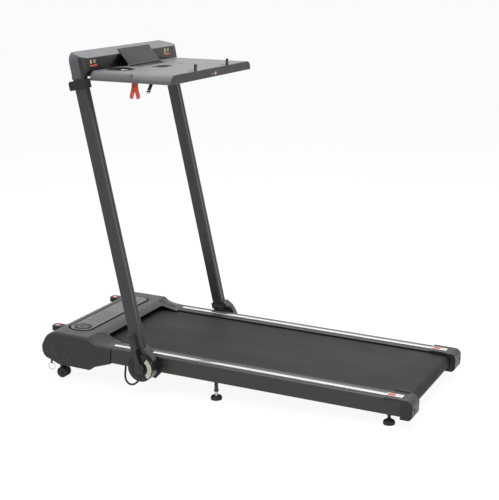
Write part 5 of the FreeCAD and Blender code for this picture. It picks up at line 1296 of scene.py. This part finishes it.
# Along and up of the mast frame where the console's top starts and ends, and the tilt of its
# rear face as a slope.
CROWN = (-20.1, 972.0)
BROAD = (33.5, 944.0)
FASCIA_TILT = 0.2151
TOP_RUN = math.hypot(BROAD[0] - CROWN[0], CROWN[1] - BROAD[1])
FORWARD = ((CROWN[0] - BROAD[0]) / TOP_RUN, 0.0, (CROWN[1] - BROAD[1]) / TOP_RUN)
FASCIA_RUN = math.hypot(FASCIA_TILT, 1.0)
FASCIA_UP = (FASCIA_TILT / FASCIA_RUN, 0.0, 1.0 / FASCIA_RUN)
# Places across of the round keys, with their marks, and of the bars below the left ones, and how
# far forward each row lies.
LEFT_KEYS = ((-196, "cross"), (-172, "bar"), (-148, "dot"), (-124, "wedge"), (-100, "dot"))
LEFT_KEYS_Y = 34.0
KEY_BARS = (-186, -160, -136, -112)
KEY_BARS_Y = 18.0
RIGHT_KEYS = ((124, "wedge"), (148, "cross"), (172, "bar"))
RIGHT_KEYS_Y = 16.0
# The plain patches at each end of the fascia: name, finish, and a plate across and up.
FASCIA_PATCHES = (
    ("band", "orange film", (0.0, -24.0, 44.0, 4.6, 0.8)),
    ("tab", "amber film", (-14.0, -12.5, 11.0, 14.0, 4.5)),
    ("block", "grey film", (7.0, -12.0, 17.0, 11.0, 3.0)),
)


def on_console(shape, up):
    """A shape on the console from its top rear edge: x to the right, y along a given way."""
    return lay(shape, (BROAD[0], 0.0, BROAD[1]), (0, 1, 0), up)


def mark(outline, top=0.12):
    """A printed mark: an outline raised by a hair."""
    return prism(outline, -0.1, top, 0.04)


def key_marks(x, y, kind):
    """A round key's ring with a plain bar, cross, dot or wedge in it."""
    ring = ring_prism(disc(x, y, 6.4, 32), disc(x, y, 5.7, 32), -0.1, 0.12, 0.04)
    bar = mark(rounded(x, y, 5.6, 1.1, 0.5, 3))
    post = mark(rounded(x, y, 1.1, 5.6, 0.5, 3), 0.125)
    dot = mark(disc(x, y, 1.8, 20))
    wedge = mark(arc(x, y, 3.2, 90, 330, 2))
    return [ring, *{"bar": [bar], "cross": [bar, post], "dot": [dot], "wedge": [wedge]}[kind]]


class TREADMILL_OT_console(bpy.types.Operator):
    """Console housing, keys, fascia, plain colour patches and the tray's brackets"""

    bl_idname = "treadmill.console"
    bl_label = "Console"

    def execute(self, context):
        eased("console_housing", 2.5, "console end plastic", segments=4)
        eased("console_keypad", 1.0, "console plastic", segments=3)
        eased("console_fascia", 0.4, "fascia gloss")
        finish_node("plated steel", "tray_brackets")
        left = [shape for x, kind in LEFT_KEYS for shape in key_marks(x, LEFT_KEYS_Y, kind)]
        bars = [mark(rounded(x, KEY_BARS_Y, 12.0, 1.4, 0.6, 3)) for x in KEY_BARS]
        right = [shape for x, kind in RIGHT_KEYS for shape in key_marks(x, RIGHT_KEYS_Y, kind)]
        marks = on_console(merge(left + bars + right), FORWARD)
        piece("key_marks", marks, MAST, "icon print", "mast")
        for name, x in (("left", -255.0), ("right", 225.0)):
            for part, finish, row in FASCIA_PATCHES:
                shape = on_console(plates(x, 0.0, (row,), -0.2, 0.25), FASCIA_UP)
                piece(f"fascia_{part}_{name}", shape, MAST, finish, "mast")
        return {"FINISHED"}


# ---------------------------------------------------------------- tray

TRAY_END = 264.0
LOZENGE = ((17.0, 1.0), (9.0, 9.0, 2.0))
PLATE_BAR = ((0.0, 1.5), (16.0, 3.0, 1.0))


def on_plate(spot, size, first, second):
    """A flat patch on the tray's rear plate, at (across, up) of its face."""
    patch = prism(rounded(0.0, 0.0, *size), -0.1, 0.2)
    return lay(patch, (TRAY_END, *spot), first, second)


class TREADMILL_OT_tray(bpy.types.Operator):
    """Desk tray, rear plate, cup holder, tablet flap, laptop stops, safety clip and patches"""

    bl_idname = "treadmill.tray"
    bl_label = "Tray"

    def execute(self, context):
        eased("desk_tray", 0.7, "tray plastic", crease=40)
        eased("tray_rear_plate", 0.7, "rear plate plastic", crease=40)
        eased("cup_holder", 0.4, "black plastic", crease=40)
        eased("tablet_flap", 0.8, "flap plastic")
        for name, _ in SIDES:
            eased(f"laptop_stop_{name}", 0.6, "black plastic")
        eased("safety_clip_body", 0.5, "red plastic", segments=3)
        eased("safety_clip_jaw", 0.5, "red plastic", segments=3)
        finish_node("plated steel", "tray_pins")
        lozenge = on_plate(*LOZENGE, (0, 0.8, 0.6), (0, -0.6, 0.8))
        piece("plate_lozenge", lozenge, TRAY, "white film", "tray")
        bar = on_plate(*PLATE_BAR, (0, 1, 0), (0, 0, 1))
        piece("plate_bar", bar, TRAY, "red film", "tray")
        return {"FINISHED"}


class TREADMILL_OT_works(bpy.types.Operator):
    """Rollers, board, cushions, motor and controller inside the machine"""

    bl_idname = "treadmill.works"
    bl_label = "Works"

    def execute(self, context):
        finish_node("brushed steel", "front_roller", "rear_roller", "motor_rotor")
        finish_node("plated steel", "roller_axles", "roller_adjusters")
        finish_node("rubber", "deck_cushions", "drive_belt")
        finish_node("deck board", "deck_board")
        finish_node("black plastic", "roller_pulley", "motor_case")
        finish_node("circuit board", "motor_controller")
        return {"FINISHED"}


# ---------------------------------------------------------------- panel and running

OPERATORS = (
    TREADMILL_OT_finishes, TREADMILL_OT_studio, TREADMILL_OT_cable, TREADMILL_OT_tether,
    TREADMILL_OT_deck, TREADMILL_OT_undercarriage, TREADMILL_OT_hood,
    TREADMILL_OT_control_panel, TREADMILL_OT_front_fittings, TREADMILL_OT_pivots,
    TREADMILL_OT_posts, TREADMILL_OT_console, TREADMILL_OT_tray, TREADMILL_OT_works,
)


class TREADMILL_PT_panel(bpy.types.Panel):
    """Settings and pieces of the treadmill"""

    bl_idname = "TREADMILL_PT_panel"
    bl_label = "Treadmill"
    bl_space_type = "VIEW_3D"
    bl_region_type = "UI"
    bl_category = "Treadmill"

    def draw(self, context):
        for settings in ("treadmill_colours", "treadmill_sizes", "treadmill_studio"):
            group = getattr(context.scene, settings)
            box = self.layout.box()
            for name in group.bl_rna.properties.keys():
                if name not in ("rna_type", "name"):
                    box.prop(group, name)
        for operator in OPERATORS:
            self.layout.operator(operator.bl_idname)


GROUPS = (
    ("treadmill_colours", TreadmillColours),
    ("treadmill_sizes", TreadmillSizes),
    ("treadmill_studio", TreadmillStudio),
)


def register():
    for name, group in GROUPS:
        bpy.utils.register_class(group)
        setattr(bpy.types.Scene, name, PointerProperty(type=group))
    for operator in OPERATORS:
        bpy.utils.register_class(operator)
    bpy.utils.register_class(TREADMILL_PT_panel)


def unregister():
    bpy.utils.unregister_class(TREADMILL_PT_panel)
    for operator in reversed(OPERATORS):
        bpy.utils.unregister_class(operator)
    for name, group in reversed(GROUPS):
        delattr(bpy.types.Scene, name)
        bpy.utils.unregister_class(group)


def main():
    """Registers the add-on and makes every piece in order."""
    register()
    for operator in OPERATORS:
        family, action = operator.bl_idname.split(".")
        getattr(getattr(bpy.ops, family), action)()


if __name__ == "__main__":
    main()
